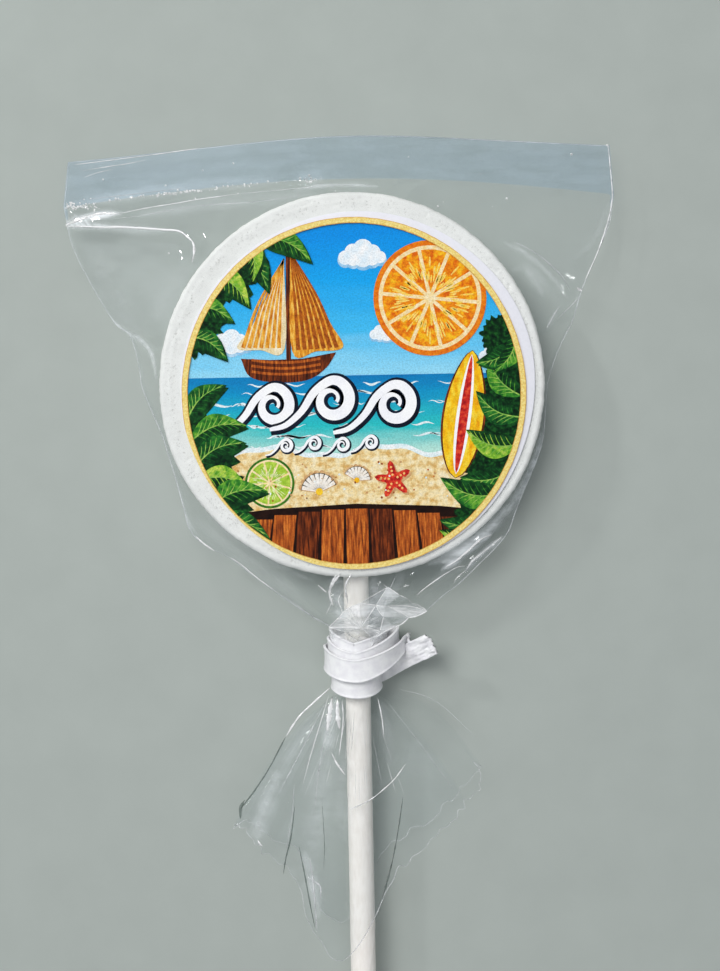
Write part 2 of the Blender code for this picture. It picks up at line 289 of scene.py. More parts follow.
def buildStudio(values):
    scene = bpy.context.scene
    scene.view_settings.view_transform = "Standard"
    scene.cycles.transparent_max_bounces = 24
    data = bpy.data.cameras.new("viewer")
    data.lens = values["lens"]
    data.sensor_width = 36
    data.clip_start, data.clip_end = 0.01, 20
    camera = bpy.data.objects.new("viewer", data)
    camera.location = [value * mm for value in values["cameraPlace"]]
    camera.rotation_euler = (0, 0, math.radians(values["cameraRoll"]))
    scene.collection.objects.link(camera)
    scene.camera = camera
    middle = (0, -0.01, 0.006)
    keyPlace, softPlace = (-0.32, 0.29, 0.81), (0.15, -0.25, 0.95)
    aimedLight(
        "keyLight", keyPlace, middle, values["keySize"], values["keyPower"], (1, 0.99, 0.97),
        mirrored=False,
    )
    aimedLight("softLight", softPlace, middle, 0.9, values["softPower"], (0.94, 0.97, 1), mirrored=False)
    # small bright lamps that the film's creases catch
    aimedLight("leftGlint", (-0.52, 0.40, 0.40), middle, values["glintSize"], values["glintPower"])
    aimedLight("topGlint", (-0.12, 0.62, 0.40), middle, values["glintSize"], values["glintPower"] * 0.6)
    aimedLight(
        "lowGlint", (0.42, -0.46, 0.20), middle, 0.05, values["sidePower"], (1, 1, 1), "RECTANGLE", 0.14,
    )
    # a pale sky, brighter towards the light, gives the film its broad faint sheen
    world = bpy.data.worlds.new("studio")
    world.use_nodes = True
    nodes, links = world.node_tree.nodes, world.node_tree.links
    direction = nodes.new("ShaderNodeTexCoord")
    facing = nodes.new("ShaderNodeVectorMath")
    facing.operation = "DOT_PRODUCT"
    facing.inputs[1].default_value = values["skyAxis"]
    links.new(direction.outputs["Generated"], facing.inputs[0])
    tints = values["skyTint"]
    steps = [(place, tuple(level * tint for tint in tints)) for place, level in values["skySteps"]]
    sky = colourSteps(nodes, links, facing.outputs["Value"], steps)
    links.new(sky, nodes["Background"].inputs["Color"])
    scene.world = world
    paint, nodes, links, shader = solidMaterial("paleFloor")
    texture = noiseTexture(nodes, links, 9, detail=5)
    tone = screenColour(*values["floorColour"])
    darker = tuple(value * 0.955 for value in tone)
    base = colourSteps(nodes, links, texture.outputs["Fac"], [(0.3, darker), (0.7, tone)])
    links.new(base, shader.inputs["Base Color"])
    shader.inputs["Roughness"].default_value = 0.9
    half = 1500
    corners = [(-half, -half, 0), (half, -half, 0), (half, half, 0), (-half, half, 0)]
    meshPiece("floor", corners, [[0, 1, 2, 3]], [paint], smooth=False)


clearStartingObjects()
buildStudio(viewSettings)
print("camera, light and floor ready")


# candy disc


candySettings = {
    "rays": 900,
    "edgeRadius": 0.8,
    "ridgeRadius": 30.35,
    "ridgeHeight": 0.10,
    "lumpHeight": 0.028,
    "outlineUneven": 0.13,
    "pits": 170,
    "colour": (235, 236, 233),
    "shadeColour": (229, 230, 227),
    "markColour": (184, 184, 180),
}


def candyMaterial(values):
    paint, nodes, links, shader = solidMaterial("pressedSugar")
    cloudy = noiseTexture(nodes, links, 2.4, detail=5)
    grain = noiseTexture(nodes, links, 0.16, detail=3)
    light, shade = screenColour(*values["colour"]), screenColour(*values["shadeColour"])
    base = colourSteps(nodes, links, cloudy.outputs["Fac"], [(0.36, shade), (0.62, light)])
    speck = colourSteps(nodes, links, grain.outputs["Fac"], [(0.28, (0.9, 0.9, 0.89)), (0.45, (1, 1, 1))])
    even = mixedColour(nodes, links, base, speck, 1.0, "MULTIPLY")
    # greyish marks, only in a band just outside the label
    marks = noiseTexture(nodes, links, 0.42, detail=4, roughness=0.7)
    marked = scaled(nodes, links, marks.outputs["Fac"], 0.85, 0, 0.32, 0.44)
    coordinates = nodes.new("ShaderNodeTexCoord")
    length = nodes.new("ShaderNodeVectorMath")
    length.operation = "LENGTH"
    flat = nodes.new("ShaderNodeVectorMath")
    flat.operation = "MULTIPLY"
    flat.inputs[1].default_value = (1, 1, 0)
    links.new(coordinates.outputs["Object"], flat.inputs[0])
    links.new(flat.outputs["Vector"], length.inputs[0])
    outward = scaled(nodes, links, length.outputs["Value"], 0, 1, 0.0285, 0.0325)
    near = colourSteps(nodes, links, outward, [
        (0.0, (0, 0, 0)), (0.3, (1, 1, 1)), (0.55, (1, 1, 1)), (0.8, (0, 0, 0))])
    share = nodes.new("ShaderNodeMath")
    share.operation = "MULTIPLY"
    links.new(marked, share.inputs[0])
    links.new(near, share.inputs[1])
    spotted = mixedColour(nodes, links, even, screenColour(*values["markColour"]), share.outputs["Value"])
    links.new(spotted, shader.inputs["Base Color"])
    links.new(scaled(nodes, links, cloudy.outputs["Fac"], 0.52, 0.78, 0.3, 0.7), shader.inputs["Roughness"])
    links.new(bumpFrom(nodes, links, grain.outputs["Fac"], 0.05, 0.6), shader.inputs["Normal"])
    return paint


def buildCandy(values):
    low, high = candyLow[2], candyHigh[2]
    edge = values["edgeRadius"]
    inner = discRadius - edge
    profile = [(r, high) for r in (6, 14, 22, 26.5)]
    profile += [(r, high) for r in np.linspace(27.5, inner, 26)]
    arcTurns = np.linspace(math.pi / 2, 0, 9)[1:]
    profile += [(inner + edge * math.cos(t), high - edge + edge * math.sin(t)) for t in arcTurns]
    profile += [(discRadius, z) for z in np.linspace(high - edge, low + edge, 14)[1:]]
    profile += [(inner + edge * math.cos(t), low + edge - edge * math.sin(t)) for t in arcTurns[::-1][1:]]
    profile += [(r, low) for r in (inner, 28, 25, 20, 14, 6)]
    radius, height = np.array(profile).T
    turns = np.arange(values["rays"]) / values["rays"] * math.tau
    flatX, flatY = np.cos(turns)[None, :], np.sin(turns)[None, :]
    # the outline and rounded edge of pressed sugar are never quite even
    rim = np.clip((radius - 27) / (discRadius - 27), 0, 1)[:, None]
    down = height[:, None] * 0.6
    around = 0.3 * valueNoise(turns * 31.75, down, 5.0, 3) + 0.5 * valueNoise(turns * 31.75, down, 1.5, 4)
    around = around + 0.4 * valueNoise(turns * 31.75, down, 0.62, 7)
    away = radius[:, None] + values["outlineUneven"] * (around - 0.35) * rim
    x, y = away * flatX, away * flatY
    z = height[:, None] + 0 * x
    facing = np.where(height > axisZ, 1.0, -1.0)[:, None]
    ridge = np.exp(-(((radius[:, None] - values["ridgeRadius"]) / 0.34) ** 2))
    broken = 0.45 + 0.55 * valueNoise(turns * 30, 0 * turns, 0.9, 8)[None, :]
    z += facing * values["ridgeHeight"] * ridge * np.clip(broken, 0, 1)
    lumps = valueNoise(x + z, y - z, 0.8, 5) + 0.7 * valueNoise(x - z, y + z, 0.33, 6)
    z += facing * values["lumpHeight"] * lumps * rim
    dice = np.random.default_rng(11)
    for _ in range(values["pits"]):
        turn, away = dice.uniform(0, math.tau), dice.normal(30.5, 0.55)
        size, depth = dice.uniform(0.10, 0.24), dice.uniform(0.05, 0.15)
        spread = (x - away * math.cos(turn)) ** 2 + (y - away * math.sin(turn)) ** 2
        z -= facing * depth * np.exp(-spread / size**2)
    z = np.clip(z, low - 0.05, high + 0.05)
    points = np.stack((x, y, z), -1).reshape(-1, 3)
    rays, rows = len(turns), len(profile)
    faces = [face[::-1] for face in gridFaces(rows, rays, wrap=True)]
    points = np.vstack((points, (0, 0, high), (0, 0, low)))
    faces += fanFaces(rows * rays, 0, rays)
    faces += fanFaces(rows * rays + 1, (rows - 1) * rays, rays, flip=True)
    return onBody(meshPiece("candyDisc", points, faces, [candyMaterial(values)]), "candy", "candy")


buildCandy(candySettings)
print("candy disc ready")


# rolled paper stick


stickSettings = {
    "sides": 96,
    "rings": 260,
    "seamStep": 0.045,
    "seamTurns": 3.4,
    "endLayers": 7,
    "colour": (250, 246, 241),
    "shadeColour": (243, 238, 232),
}


def stickMaterial(values):
    paint, nodes, links, shader = solidMaterial("rolledPaper")
    fibres = noiseTexture(nodes, links, 0.45, detail=4, stretch=(1, 0.22, 1))
    blotches = noiseTexture(nodes, links, 3.5, detail=3)
    light, shade = screenColour(*values["colour"]), screenColour(*values["shadeColour"])
    base = colourSteps(nodes, links, fibres.outputs["Fac"], [(0.34, shade), (0.6, light)])
    soft = colourSteps(
        nodes, links, blotches.outputs["Fac"], [(0.35, (0.97, 0.965, 0.955)), (0.6, (1, 1, 1))],
    )
    links.new(mixedColour(nodes, links, base, soft, 1.0, "MULTIPLY"), shader.inputs["Base Color"])
    shader.inputs["Roughness"].default_value = 0.72
    links.new(bumpFrom(nodes, links, fibres.outputs["Fac"], 0.012, 0.4), shader.inputs["Normal"])
    return paint


def buildStick(values):
    sides, rings = values["sides"], values["rings"]
    top, bottom = stickHigh[1], stickLow[1]
    turns = np.arange(sides) / sides * math.tau
    points = []
    for ring in range(rings):
        share = ring / (rings - 1)
        y = top + share * (bottom - top)
        fromEnd = min(y - bottom, 0.35)
        chamfer = 0.35 - math.sqrt(max(0.35**2 - (0.35 - fromEnd) ** 2, 0))
        # the paper's outer edge winds down the stick as a low step
        lead = (turns - share * values["seamTurns"] * math.tau) % math.tau
        step = values["seamStep"] * (np.exp(-lead * 1.4) - 0.4)
        radius = stickRadius - values["seamStep"] - chamfer + step
        radius = radius + 0.012 * valueNoise(turns * 2, 0 * turns + y, 0.7, 21)
        ringPoints = (radius * np.cos(turns), 0 * turns + y, axisZ + radius * np.sin(turns))
        points.append(np.stack(ringPoints, -1))
    # the cut end shows the roll's layers as a spiral
    endRings = 34
    for ring in range(endRings):
        radius = (stickRadius - 0.36) * (1 - (ring + 1) / (endRings + 1))
        layer = (radius / stickRadius * values["endLayers"] + turns / math.tau) % 1
        sink = 0.07 * np.exp(-((layer - 0.5) / 0.16) ** 2) + 0.02
        ringPoints = (radius * np.cos(turns), bottom + sink, axisZ + radius * np.sin(turns))
        points.append(np.stack(ringPoints, -1))
    rows = len(points)
    points = np.concatenate(points + [np.array([(0, bottom + 0.1, axisZ), (0, top, axisZ)])])
    faces = gridFaces(rows, sides, wrap=True)
    faces += fanFaces(rows * sides, (rows - 1) * sides, sides)
    faces += fanFaces(rows * sides + 1, 0, sides, flip=True)
    return onBody(meshPiece("paperStick", points, faces, [stickMaterial(values)]), "stick", "stick")


buildStick(stickSettings)
print("paper stick ready")


# clear bag: where its outline and its heights lie


bagSettings = {
    "rays": 720,
    "frontHeight": 10.80,
    "backHeight": 0.08,
    "rimRounding": 0.8,
    "edgeGap": 0.12,
    "sealLineHeight": 35.0,
    "sealLineDrop": 3.4,
    "halfWidth": 48.0,
    "sealBow": 1.6,
    "weld": 0.7,
    "neckRadius": 3.3,
    "neckPlace": (0.4, -43.0),
    "lowest": 0.04,
    "highest": 11.3,
    "edgeLineInset": 0.9972,
}
sealTop = ((44.8, 40.5), (26.0, 41.4), (0.0, 42.2), (-25.0, 41.0), (-47.9, 39.4))
leftEdge = (
    (-48.7, 31.8), (-47.6, 25.8), (-45.0, 19.8), (-40.4, 11.8), (-37.6, 9.2), (-36.2, 3.7), (-35.8, 0.6),
    (-34.3, -3.4), (-32.5, -7.8), (-31.4, -11.6), (-30.3, -15.4), (-29.0, -20.5), (-28.1, -23.9),
    (-25.6, -26.6), (-21.4, -28.8), (-16.3, -32.8), (-9.6, -37.7), (-4.9, -40.6),
)
neckEdge = ((-4.9, -40.6), (-3.2, -41.2), (3.6, -41.2), (11.9, -38.4))
rightEdge = (
    (11.9, -38.4), (14.8, -35.9), (17.7, -33.8), (21.2, -30.5), (24.3, -27.5), (26.2, -25.0),
    (27.2, -22.4), (28.4, -19.4), (30.2, -15.4), (31.6, -12.0), (32.4, -9.0), (32.9, -4.0), (33.4, 0.3),
    (34.8, 4.5), (36.4, 7.9), (37.8, 10.6), (39.6, 16.1), (42.6, 22.6), (44.6, 27.6), (45.3, 32.0),
)
bagCorners = (sealTop[0], sealTop[-1], leftEdge[0], leftEdge[-1], rightEdge[0], rightEdge[-1])


def bagOutline():
    runs = [smoothCurve(sealTop), np.array([sealTop[-1], leftEdge[0]]), smoothCurve(leftEdge)]
    runs += [smoothCurve(neckEdge), smoothCurve(rightEdge), np.array([rightEdge[-1], sealTop[0]])]
    return np.concatenate([run[:-1, :2] for run in runs])


def outlineReach(outline, angles):
    # how far the outline lies from the middle in each direction
    reach = np.zeros(len(angles))
    for i, angle in enumerate(angles):
        along = outline @ (math.cos(angle), math.sin(angle))
        across = outline @ (-math.sin(angle), math.cos(angle))
        after, alongAfter = np.roll(across, -1), np.roll(along, -1)
        hit = np.nonzero((across <= 0) & (after > 0))[0]
        share = across[hit] / (across[hit] - after[hit])
        reach[i] = (along[hit] + share * (alongAfter[hit] - along[hit])).max()
    return reach


def sealReach(angles, limits, values):
    # where the heat seal's lower edge is met, or the edge's own weld where there is no seal
    meet = limits - values["weld"]
    for i, angle in enumerate(angles):
        if math.sin(angle) <= 0:
            continue
        distance = values["sealLineHeight"]
        for _ in range(12):
            x = distance * math.cos(angle)
            line = values["sealLineHeight"] - values["sealLineDrop"] * (x / values["halfWidth"]) ** 2
            distance = min(line / math.sin(angle), 90)
        if distance < meet[i]:
            meet[i] = distance
    return meet


def edgeHeight(x, y, values):
    share = np.clip((y - 10) / 30, 0, 1)
    return axisZ + values["sealBow"] * share * np.cos(math.pi * x / values["halfWidth"])


# folds of the front film: path, half width, height (outward), and how pointed its crest is
frontFolds = [
    (((-48.4, 28.3), (-42.0, 27.6), (-38.6, 27.5), (-34.6, 27.1), (-31.2, 26.7), (-28.5, 26.3),
        (-26.9, 25.1), (-26.0, 24.0), (-25.9, 22.3), (-26.3, 20.7)), 1.6, 0.95, 0.7),
    (((-48.4, 28.5), (-45.6, 29.3), (-43.5, 29.8), (-42.2, 30.1), (-38.9, 30.0), (-34.4, 30.8),
        (-28.6, 31.5), (-25.2, 32.0), (-18.4, 32.6), (-13, 32.9), (-2, 33.4)), 0.9, 0.5, 0.8),
    (((-40, 29.0), (-35.3, 29.5), (-25.2, 30.8), (-15, 31.0), (-8, 31.8)), 0.9, 0.2, 0.3),
    (((-42.6, 15.3), (-37.2, 19.4), (-31.2, 22.7), (-26.9, 25.2)), 3.0, -0.3, 0.1),
    (((-42.3, 13.3), (-39, 11.5), (-36.5, 10), (-34.5, 8.4)), 1.3, 0.05, 0.3),
    (((27.5, 23.4), (31.2, 21.4), (34.5, 18.8), (36.1, 17.1), (37.3, 15)), 1.2, 0.25, 0.4),
    (((29.1, 19.4), (29.9, 18), (31.4, 15.5)), 0.9, 0.18, 0.2),
    (((43.5, 26.0), (41, 23.4), (38.1, 20.9), (35.8, 18.9)), 1.3, 0.2, 0.4),
    (((39.6, 15.1), (38.2, 13.1), (36, 14), (34.6, 11.4), (32.9, 8.9)), 1.0, 0.2, 0.4),
    (((-29.6, -17.5), (-28.2, -21.8), (-26.6, -24.4), (-24.3, -26.3), (-21.5, -27.8)), 0.7, 0.3, 0.7),
    (((14.9, -30.9), (16.8, -29.8), (19.3, -27.7), (21.1, -26.2), (23.1, -25.5)), 0.9, 0.5, 0.6),
    (((18.8, -31.4), (19.8, -29.9), (22.7, -27.7), (24.9, -26.0)), 0.7, 0.5, 0.8),
    (((10.1, -35.6), (11.6, -34.3), (13.8, -32.8), (15.2, -31.9), (17.1, -30.9),
        (18.6, -30.8)), 0.7, 0.45, 0.8),
    (((16.7, -33.6), (17.1, -32.8), (18.8, -31.4)), 0.5, 0.35, 0.8),
    (((-2.5, -31.3), (-4.4, -34.3), (-3.9, -37.2)), 0.6, 0.6, 0.8),
    (((-0.6, -31.5), (-1.7, -33.4), (-1.4, -36.6)), 0.5, 0.5, 0.8),
    (((-6.4, -33.3), (-4.9, -34.7)), 0.5, 0.45, 0.8),
    (((7.9, -33.9), (8.9, -33.7)), 0.4, 0.3, 0.8),
    (((-12, -31.5), (-8, -35.5), (-5, -39.5)), 0.8, 0.35, 0.6),
    (((-18, -29.5), (-11, -34), (-6, -38.6)), 0.9, 0.3, 0.5),
    (((3.4, -31.8), (3.2, -35.5), (2.2, -39.5)), 0.6, 0.5, 0.7),
    (((9.5, -30.8), (7.0, -34.6), (4.4, -38.8)), 0.7, 0.45, 0.7),
]


def foldRelief(x, y, folds):
    relief = np.zeros(x.shape)
    for points, width, height, pointed in folds:
        distance, share = fromPath(x, y, smoothCurve(points))
        fade = np.clip(share / 0.12, 0, 1) * np.clip((1 - share) / 0.2, 0, 1)
        round_ = np.exp(-((distance / width) ** 2))
        tent = np.clip(1 - distance / (1.5 * width), 0, 1)
        relief += height * np.sqrt(fade) * (pointed * tent + (1 - pointed) * round_)
    return relief


def filmSheet(values, side):
    # one film as a grid of rays and rows, from the middle of the disc to the bag's edge
    outline = bagOutline()
    angles = np.arange(values["rays"]) / values["rays"] * math.tau
    for x, y in bagCorners:
        corner = math.atan2(y, x) % math.tau
        angles[np.argmin(np.abs(angles - corner))] = corner
    reach = outlineReach(outline, angles)
    meet = sealReach(angles, reach, values)
    cosines, sines = np.cos(angles), np.sin(angles)
    level = values["frontHeight"] if side > 0 else values["backHeight"]
    rounding = values["rimRounding"]
    rimMiddle = (candyHigh[2] if side > 0 else candyLow[2]) - side * rounding
    rimRadius = abs(level - rimMiddle)
    rimDistance = discRadius - rounding
    meetX, meetY = meet * cosines, meet * sines
    opening = np.where(
        (meetY < 0) & (np.abs(meetX) < values["neckRadius"]),
        np.sqrt(np.clip(values["neckRadius"] ** 2 - meetX**2, 0, None)), 0,
    )
    meetHeight = edgeHeight(meetX, meetY, values) + side * np.maximum(values["edgeGap"], opening)
    run, drop = meet - rimDistance, side * (meetHeight - rimMiddle)
    leave = np.arctan2(drop, run) + np.arccos(np.clip(rimRadius / np.hypot(run, drop), -1, 1))
    leave = np.clip(leave, 0.02, math.pi / 2)
    distances, heights = [], []
    for distance in (5, 12, 19, 25, 28, 29.3, 30.2):
        distances.append(0 * angles + distance)
        heights.append(0 * angles + level)
    for share in np.linspace(0, 1, 9):
        turn = math.pi / 2 + share * (leave - math.pi / 2)
        distances.append(rimDistance + rimRadius * np.cos(turn))
        heights.append(rimMiddle + side * rimRadius * np.sin(turn))
    tangentDistance, tangentHeight = distances[-1], heights[-1]
    for share in np.linspace(0, 1, 40)[1:]:
        distances.append(tangentDistance + share * (meet - tangentDistance))
        heights.append(tangentHeight + share * (meetHeight - tangentHeight))
    outerMiddle = edgeHeight(reach * cosines, reach * sines, values)
    outerHeight = outerMiddle + side * np.maximum(0.03, np.maximum(values["edgeGap"], opening) - 0.09)
    for share in np.linspace(0, 1, 9)[1:]:
        distances.append(meet + share * (reach - meet))
        heights.append(meetHeight + share * (outerHeight - meetHeight))
    distance, height = np.array(distances), np.array(heights)
    x, y = distance * cosines, distance * sines
    # how free the film is to wave: not on the candy, and not in the weld
    free = np.clip((distance - tangentDistance) / 1.5, 0, 1) * np.clip((meet - distance) / 1.2, 0, 1)
    return x, y, height, free, distance, meet


def filmMaterial(name, tint, gloss, hazeAndGlare, roughness, hazeAndSheenColour=(0.86, 0.9, 0.92)):
    paint, nodes, links, output = newMaterial(name)
    clear = nodes.new("ShaderNodeBsdfTransparent")
    clear.inputs["Color"].default_value = (*tint, 1)
    shine = nodes.new("ShaderNodeBsdfAnisotropic")
    shine.inputs["Color"].default_value = (1, 1, 1, 1)
    shine.inputs["Roughness"].default_value = roughness
    # a white diffuse share: milky haze in the clear films, painted glints and sheen in the crease films, a
    # painted blue sky sheen in the seal film
    hazeAndSheen = nodes.new("ShaderNodeBsdfDiffuse")
    hazeAndSheen.inputs["Color"].default_value = (*hazeAndSheenColour, 1)
    # a sheet this thin mirrors as little from behind as from in front
    fresnel = nodes.new("ShaderNodeFresnel")
    surface = nodes.new("ShaderNodeNewGeometry")
    links.new(scaled(nodes, links, surface.outputs["Backfacing"], 1.5, 1 / 1.5), fresnel.inputs["IOR"])
    ripple = noiseTexture(nodes, links, 3.0, detail=2)
    ripples = bumpFrom(nodes, links, ripple.outputs["Fac"], 0.08, 0.25)
    links.new(ripples, shine.inputs["Normal"])
    links.new(ripples, fresnel.inputs["Normal"])
    streaks = noiseTexture(nodes, links, 2.2, detail=5, stretch=(0.35, 1.6, 1))
    baseHazeAndGlare = scaled(nodes, links, streaks.outputs["Fac"], hazeAndGlare * 0.3, hazeAndGlare * 1.7, 0.3, 0.75)
    # some pieces also carry painted strokes of their own: painted glare and sheen, and milky haze
    painted = nodes.new("ShaderNodeAttribute")
    painted.attribute_name = "hazeAndGlare"
    grainy = scaled(nodes, links, streaks.outputs["Fac"], 0.45, 1.5, 0.3, 0.75)
    totalHazeAndGlare = nodes.new("ShaderNodeMath")
    totalHazeAndGlare.operation = "MULTIPLY_ADD"
    totalHazeAndGlare.use_clamp = True
    links.new(painted.outputs["Fac"], totalHazeAndGlare.inputs[0])
    links.new(grainy, totalHazeAndGlare.inputs[1])
    links.new(baseHazeAndGlare, totalHazeAndGlare.inputs[2])
    withHazeAndGlare = nodes.new("ShaderNodeMixShader")
    links.new(totalHazeAndGlare.outputs["Value"], withHazeAndGlare.inputs["Fac"])
    links.new(clear.outputs["BSDF"], withHazeAndGlare.inputs[1])
    links.new(hazeAndSheen.outputs["BSDF"], withHazeAndGlare.inputs[2])
    strength = nodes.new("ShaderNodeMath")
    strength.operation = "MULTIPLY"
    strength.use_clamp = True
    strength.inputs[1].default_value = gloss
    links.new(fresnel.outputs["Fac"], strength.inputs[0])
    mix = nodes.new("ShaderNodeMixShader")
    links.new(strength.outputs["Value"], mix.inputs["Fac"])
    links.new(withHazeAndGlare.outputs["Shader"], mix.inputs[1])
    links.new(shine.outputs["BSDF"], mix.inputs[2])
    links.new(mix.outputs["Shader"], output.inputs["Surface"])
    return paint


clearFilm = filmMaterial("clearFilm", (0.968, 0.98, 0.984), 1.2, 0.012, 0.05)
restingFilm = filmMaterial("restingFilm", (0.985, 0.99, 0.992), 0.2, 0.0, 0.08)
# the heat seal's whitening is real; its blue tint is a painted sky sheen
sealAndSkySheenFilm = filmMaterial("sealAndSkySheenFilm", (0.89, 0.938, 0.98), 1.2, 0.045, 0.07, (0.76, 0.88, 1.0))
milkyFilm = filmMaterial("milkyFilm", (0.9, 0.91, 0.91), 1.5, 0.6, 0.1, (0.95, 0.95, 0.96))
cloudedFilm = filmMaterial("cloudedFilm", (0.9, 0.91, 0.91), 1.5, 0.4, 0.1, (0.92, 0.94, 0.96))
hazyFilm = filmMaterial("crumpledFilm", (0.91, 0.92, 0.92), 1.5, 0.22, 0.08)
# white lines of painted glint, where creases catch the light
paintedGlintFilm = filmMaterial("creaseGlintFilm", (0.9, 0.92, 0.92), 6.0, 1.15, 0.12, (1, 1, 1))
# whitish lines of painted sheen, on soft creases and the film's cut edges
paintedSheenFilm = filmMaterial("softCreaseSheenFilm", (0.95, 0.96, 0.96), 4.0, 0.42, 0.2, (0.97, 0.98, 1))
# darkly tinted lines of painted shade, along folded edges
paintedFoldShadeFilm = filmMaterial("foldedEdgeShadeFilm", (0.62, 0.66, 0.64), 1.6, 0.04, 0.08)


def addHazeAndGlare(piece, x, y, strokes):
    # soft white strokes painted on the film, as painted glare and sheen and as milky haze: path, half width
    # and strength
    total = np.zeros(np.shape(x))
    for path, width, strength in strokes:
        distance, share = fromPath(x, y, smoothCurve(path))
        taper = np.sqrt(np.clip(np.minimum(share, 1 - share) / 0.25, 0, 1))
        total += strength * np.exp(-((distance / (width * (0.35 + 0.65 * taper))) ** 2)) * (0.3 + 0.7 * taper)
    attribute = piece.data.attributes.new("hazeAndGlare", "FLOAT", "POINT")
    attribute.data.foreach_set("value", np.clip(total, 0, 0.8).ravel())


# painted broad soft glare and glints on the front film, and the whitened heat seal
frontGlareAndHaze = (
    (((-47.5, 32.2), (-41.6, 32.8), (-33.8, 33.6), (-23.5, 34.5), (-12, 34.8)), 0.9, 0.20),
    (((-8.5, 34.8), (-6.2, 35.2), (-4.0, 35.0)), 0.9, 0.25),
    (((-48.9, 28.5), (-47.4, 28.8), (-45.2, 29.3), (-42.0, 29.9), (-38.5, 30.0)), 0.62, 0.95),
    (((-47.6, 28.4), (-44.0, 28.0), (-40.0, 27.6)), 0.35, 0.5),
    (((-36, 29.4), (-25, 31.0), (-14, 31.2), (-6, 32.0)), 1.0, 0.12),
    (((-9, 32.7), (-5.5, 33.4), (-1, 33.6), (5, 33.2)), 0.45, 0.35),
    (((-47.6, 28.4), (-40, 27.6), (-31, 26.4)), 0.8, 0.20),
    (((-44, 25), (-39, 15), (-35.5, 8)), 2.2, 0.07),
    (((-43.5, 13.8), (-40.3, 11.4), (-38.1, 10.0), (-36.4, 9.0), (-34.8, 7.7), (-33.8, 6.3), (-33.2, 4.6),
        (-32.7, 1.6)), 0.40, 0.42),
    (((-33.6, 11.0), (-30.5, 15.6), (-27.0, 20.0)), 1.8, 0.07),
    (((-30.6, -15.5), (-28.8, -21.5), (-26.8, -24.6)), 0.5, 0.20),
    (((-27, -22), (-18, -29), (-9, -36)), 1.3, 0.13),
    (((-25.0, -21.0), (-17.0, -27.4), (-8.0, -32.4)), 0.5, 0.16),
    (((32.0, -8.6), (30.2, -14.6), (26.4, -20.6), (21.0, -25.9), (14.6, -30.0)), 0.85, 0.62),
    (((24.6, -21.6), (22.4, -23.8), (20.2, -25.6)), 1.1, 0.14),
    (((14.3, -31.4), (17.0, -29.7), (19.6, -27.7), (22.8, -25.4)), 0.6, 0.85),
    (((18.6, -31.6), (21.3, -28.8), (25.0, -26.0)), 0.42, 0.85),
    (((12.0, -30.2), (15.0, -28.8), (18.0, -26.9), (20.7, -25.2)), 0.9, 0.36),
    (((12.6, -33.6), (15.4, -31.9), (18.4, -31.0)), 0.5, 0.22),
    (((27.0, 18.6), (30.2, 19.0), (33.4, 15.4)), 0.5, 0.12),
    (((25.8, 23.4), (30.0, 20.9), (34.0, 17.4), (36.6, 14.2)), 0.35, 0.26),
    (((29.4, 19.0), (31.0, 16.6), (32.2, 14.4)), 0.7, 0.26),
    (((35.2, 12.6), (34.0, 10.9), (32.9, 8.9)), 0.35, 0.26),
    (((44.6, 31), (41.5, 24), (37.5, 20.4)), 0.5, 0.12),
    (((-3.4, -32.0), (-3.0, -36.5), (-2.6, -41.0)), 1.4, 0.36),
    (((3.0, -32.6), (3.2, -36.0), (2.6, -40.6)), 1.5, 0.34),
    (((7.5, -31.5), (6.5, -35.0), (5.0, -39.0)), 1.0, 0.12),
)


def buildBagSheet(values, side, name, folds):
    x, y, height, free, distance, meet = filmSheet(values, side)
    waves = 0.09 * valueNoise(x, y, 8.5, 31) + 0.02 * valueNoise(x, y, 2.6, 32)
    # gathers run together towards the neck
    neckX, neckY = values["neckPlace"]
    fromNeck = np.hypot(x - neckX, y - neckY)
    bearing = np.arctan2(x - neckX, y - neckY)
    gather = np.exp(-((fromNeck - 5) / 9.5) ** 2) * (y < -20)
    waves = waves + gather * 0.34 * valueNoise(bearing * 30, 0 * bearing, 3.1, 33 + side)
    z = height + side * free * (waves + foldRelief(x, y, folds))
    z = np.clip(z, values["lowest"], values["highest"])
    rows, rays = x.shape
    points = np.vstack((np.stack((x, y, z), -1).reshape(-1, 3), (0, 0, z[0, 0])))
    faces = gridFaces(rows, rays, wrap=True)
    if side > 0:
        faces = [face[::-1] for face in faces]
    inSeal = ((distance >= meet - 1e-6) & (y > 30))[:-1].ravel()
    # film that lies on the candy, or wraps steeply round its side, shines less
    grid = np.stack((x, y, z), -1)
    near, far = grid[:-1], grid[1:]
    normals = np.cross(np.roll(far, -1, axis=1) - near, far - np.roll(near, -1, axis=1))
    upright = np.abs(normals[..., 2]) < 0.72 * np.linalg.norm(normals, axis=-1)
    resting = ((distance[1:] < discRadius + 0.15) | upright | (side < 0)).ravel()
    paintOf = np.concatenate((np.where(inSeal, 1, np.where(resting, 2, 0)), np.full(rays, 2)))
    faces += fanFaces(rows * rays, 0, rays, flip=side < 0)
    piece = meshPiece(name, points, faces, [clearFilm, sealAndSkySheenFilm, restingFilm], paintOf)
    onBody(piece, "film", "bag")
    piece.visible_shadow = False
    if side > 0:
        addHazeAndGlare(piece, points[:, 0], points[:, 1], frontGlareAndHaze)
    return x, y, z, distance


frontX, frontY, frontZ, frontDistance = buildBagSheet(bagSettings, 1, "bagFront", frontFolds)
buildBagSheet(bagSettings, -1, "bagBack", frontFolds[3:9])
print("bag sheets ready")


def frontHeightAt(x, y):
    # the front film's height under a point, read from its own grid
    angle = math.atan2(y, x) % math.tau
    ray = int(round(angle / math.tau * frontX.shape[1])) % frontX.shape[1]
    return float(np.interp(math.hypot(x, y), frontDistance[:, ray], frontZ[:, ray]))


# thin lines of film seen edge on: bright crests with painted glints, soft creases with painted sheen, and
# dark folded edges with painted shade
lineBoldness = 1.8
lineInks = {"bright": 0, "soft": 1, "dark": 2}


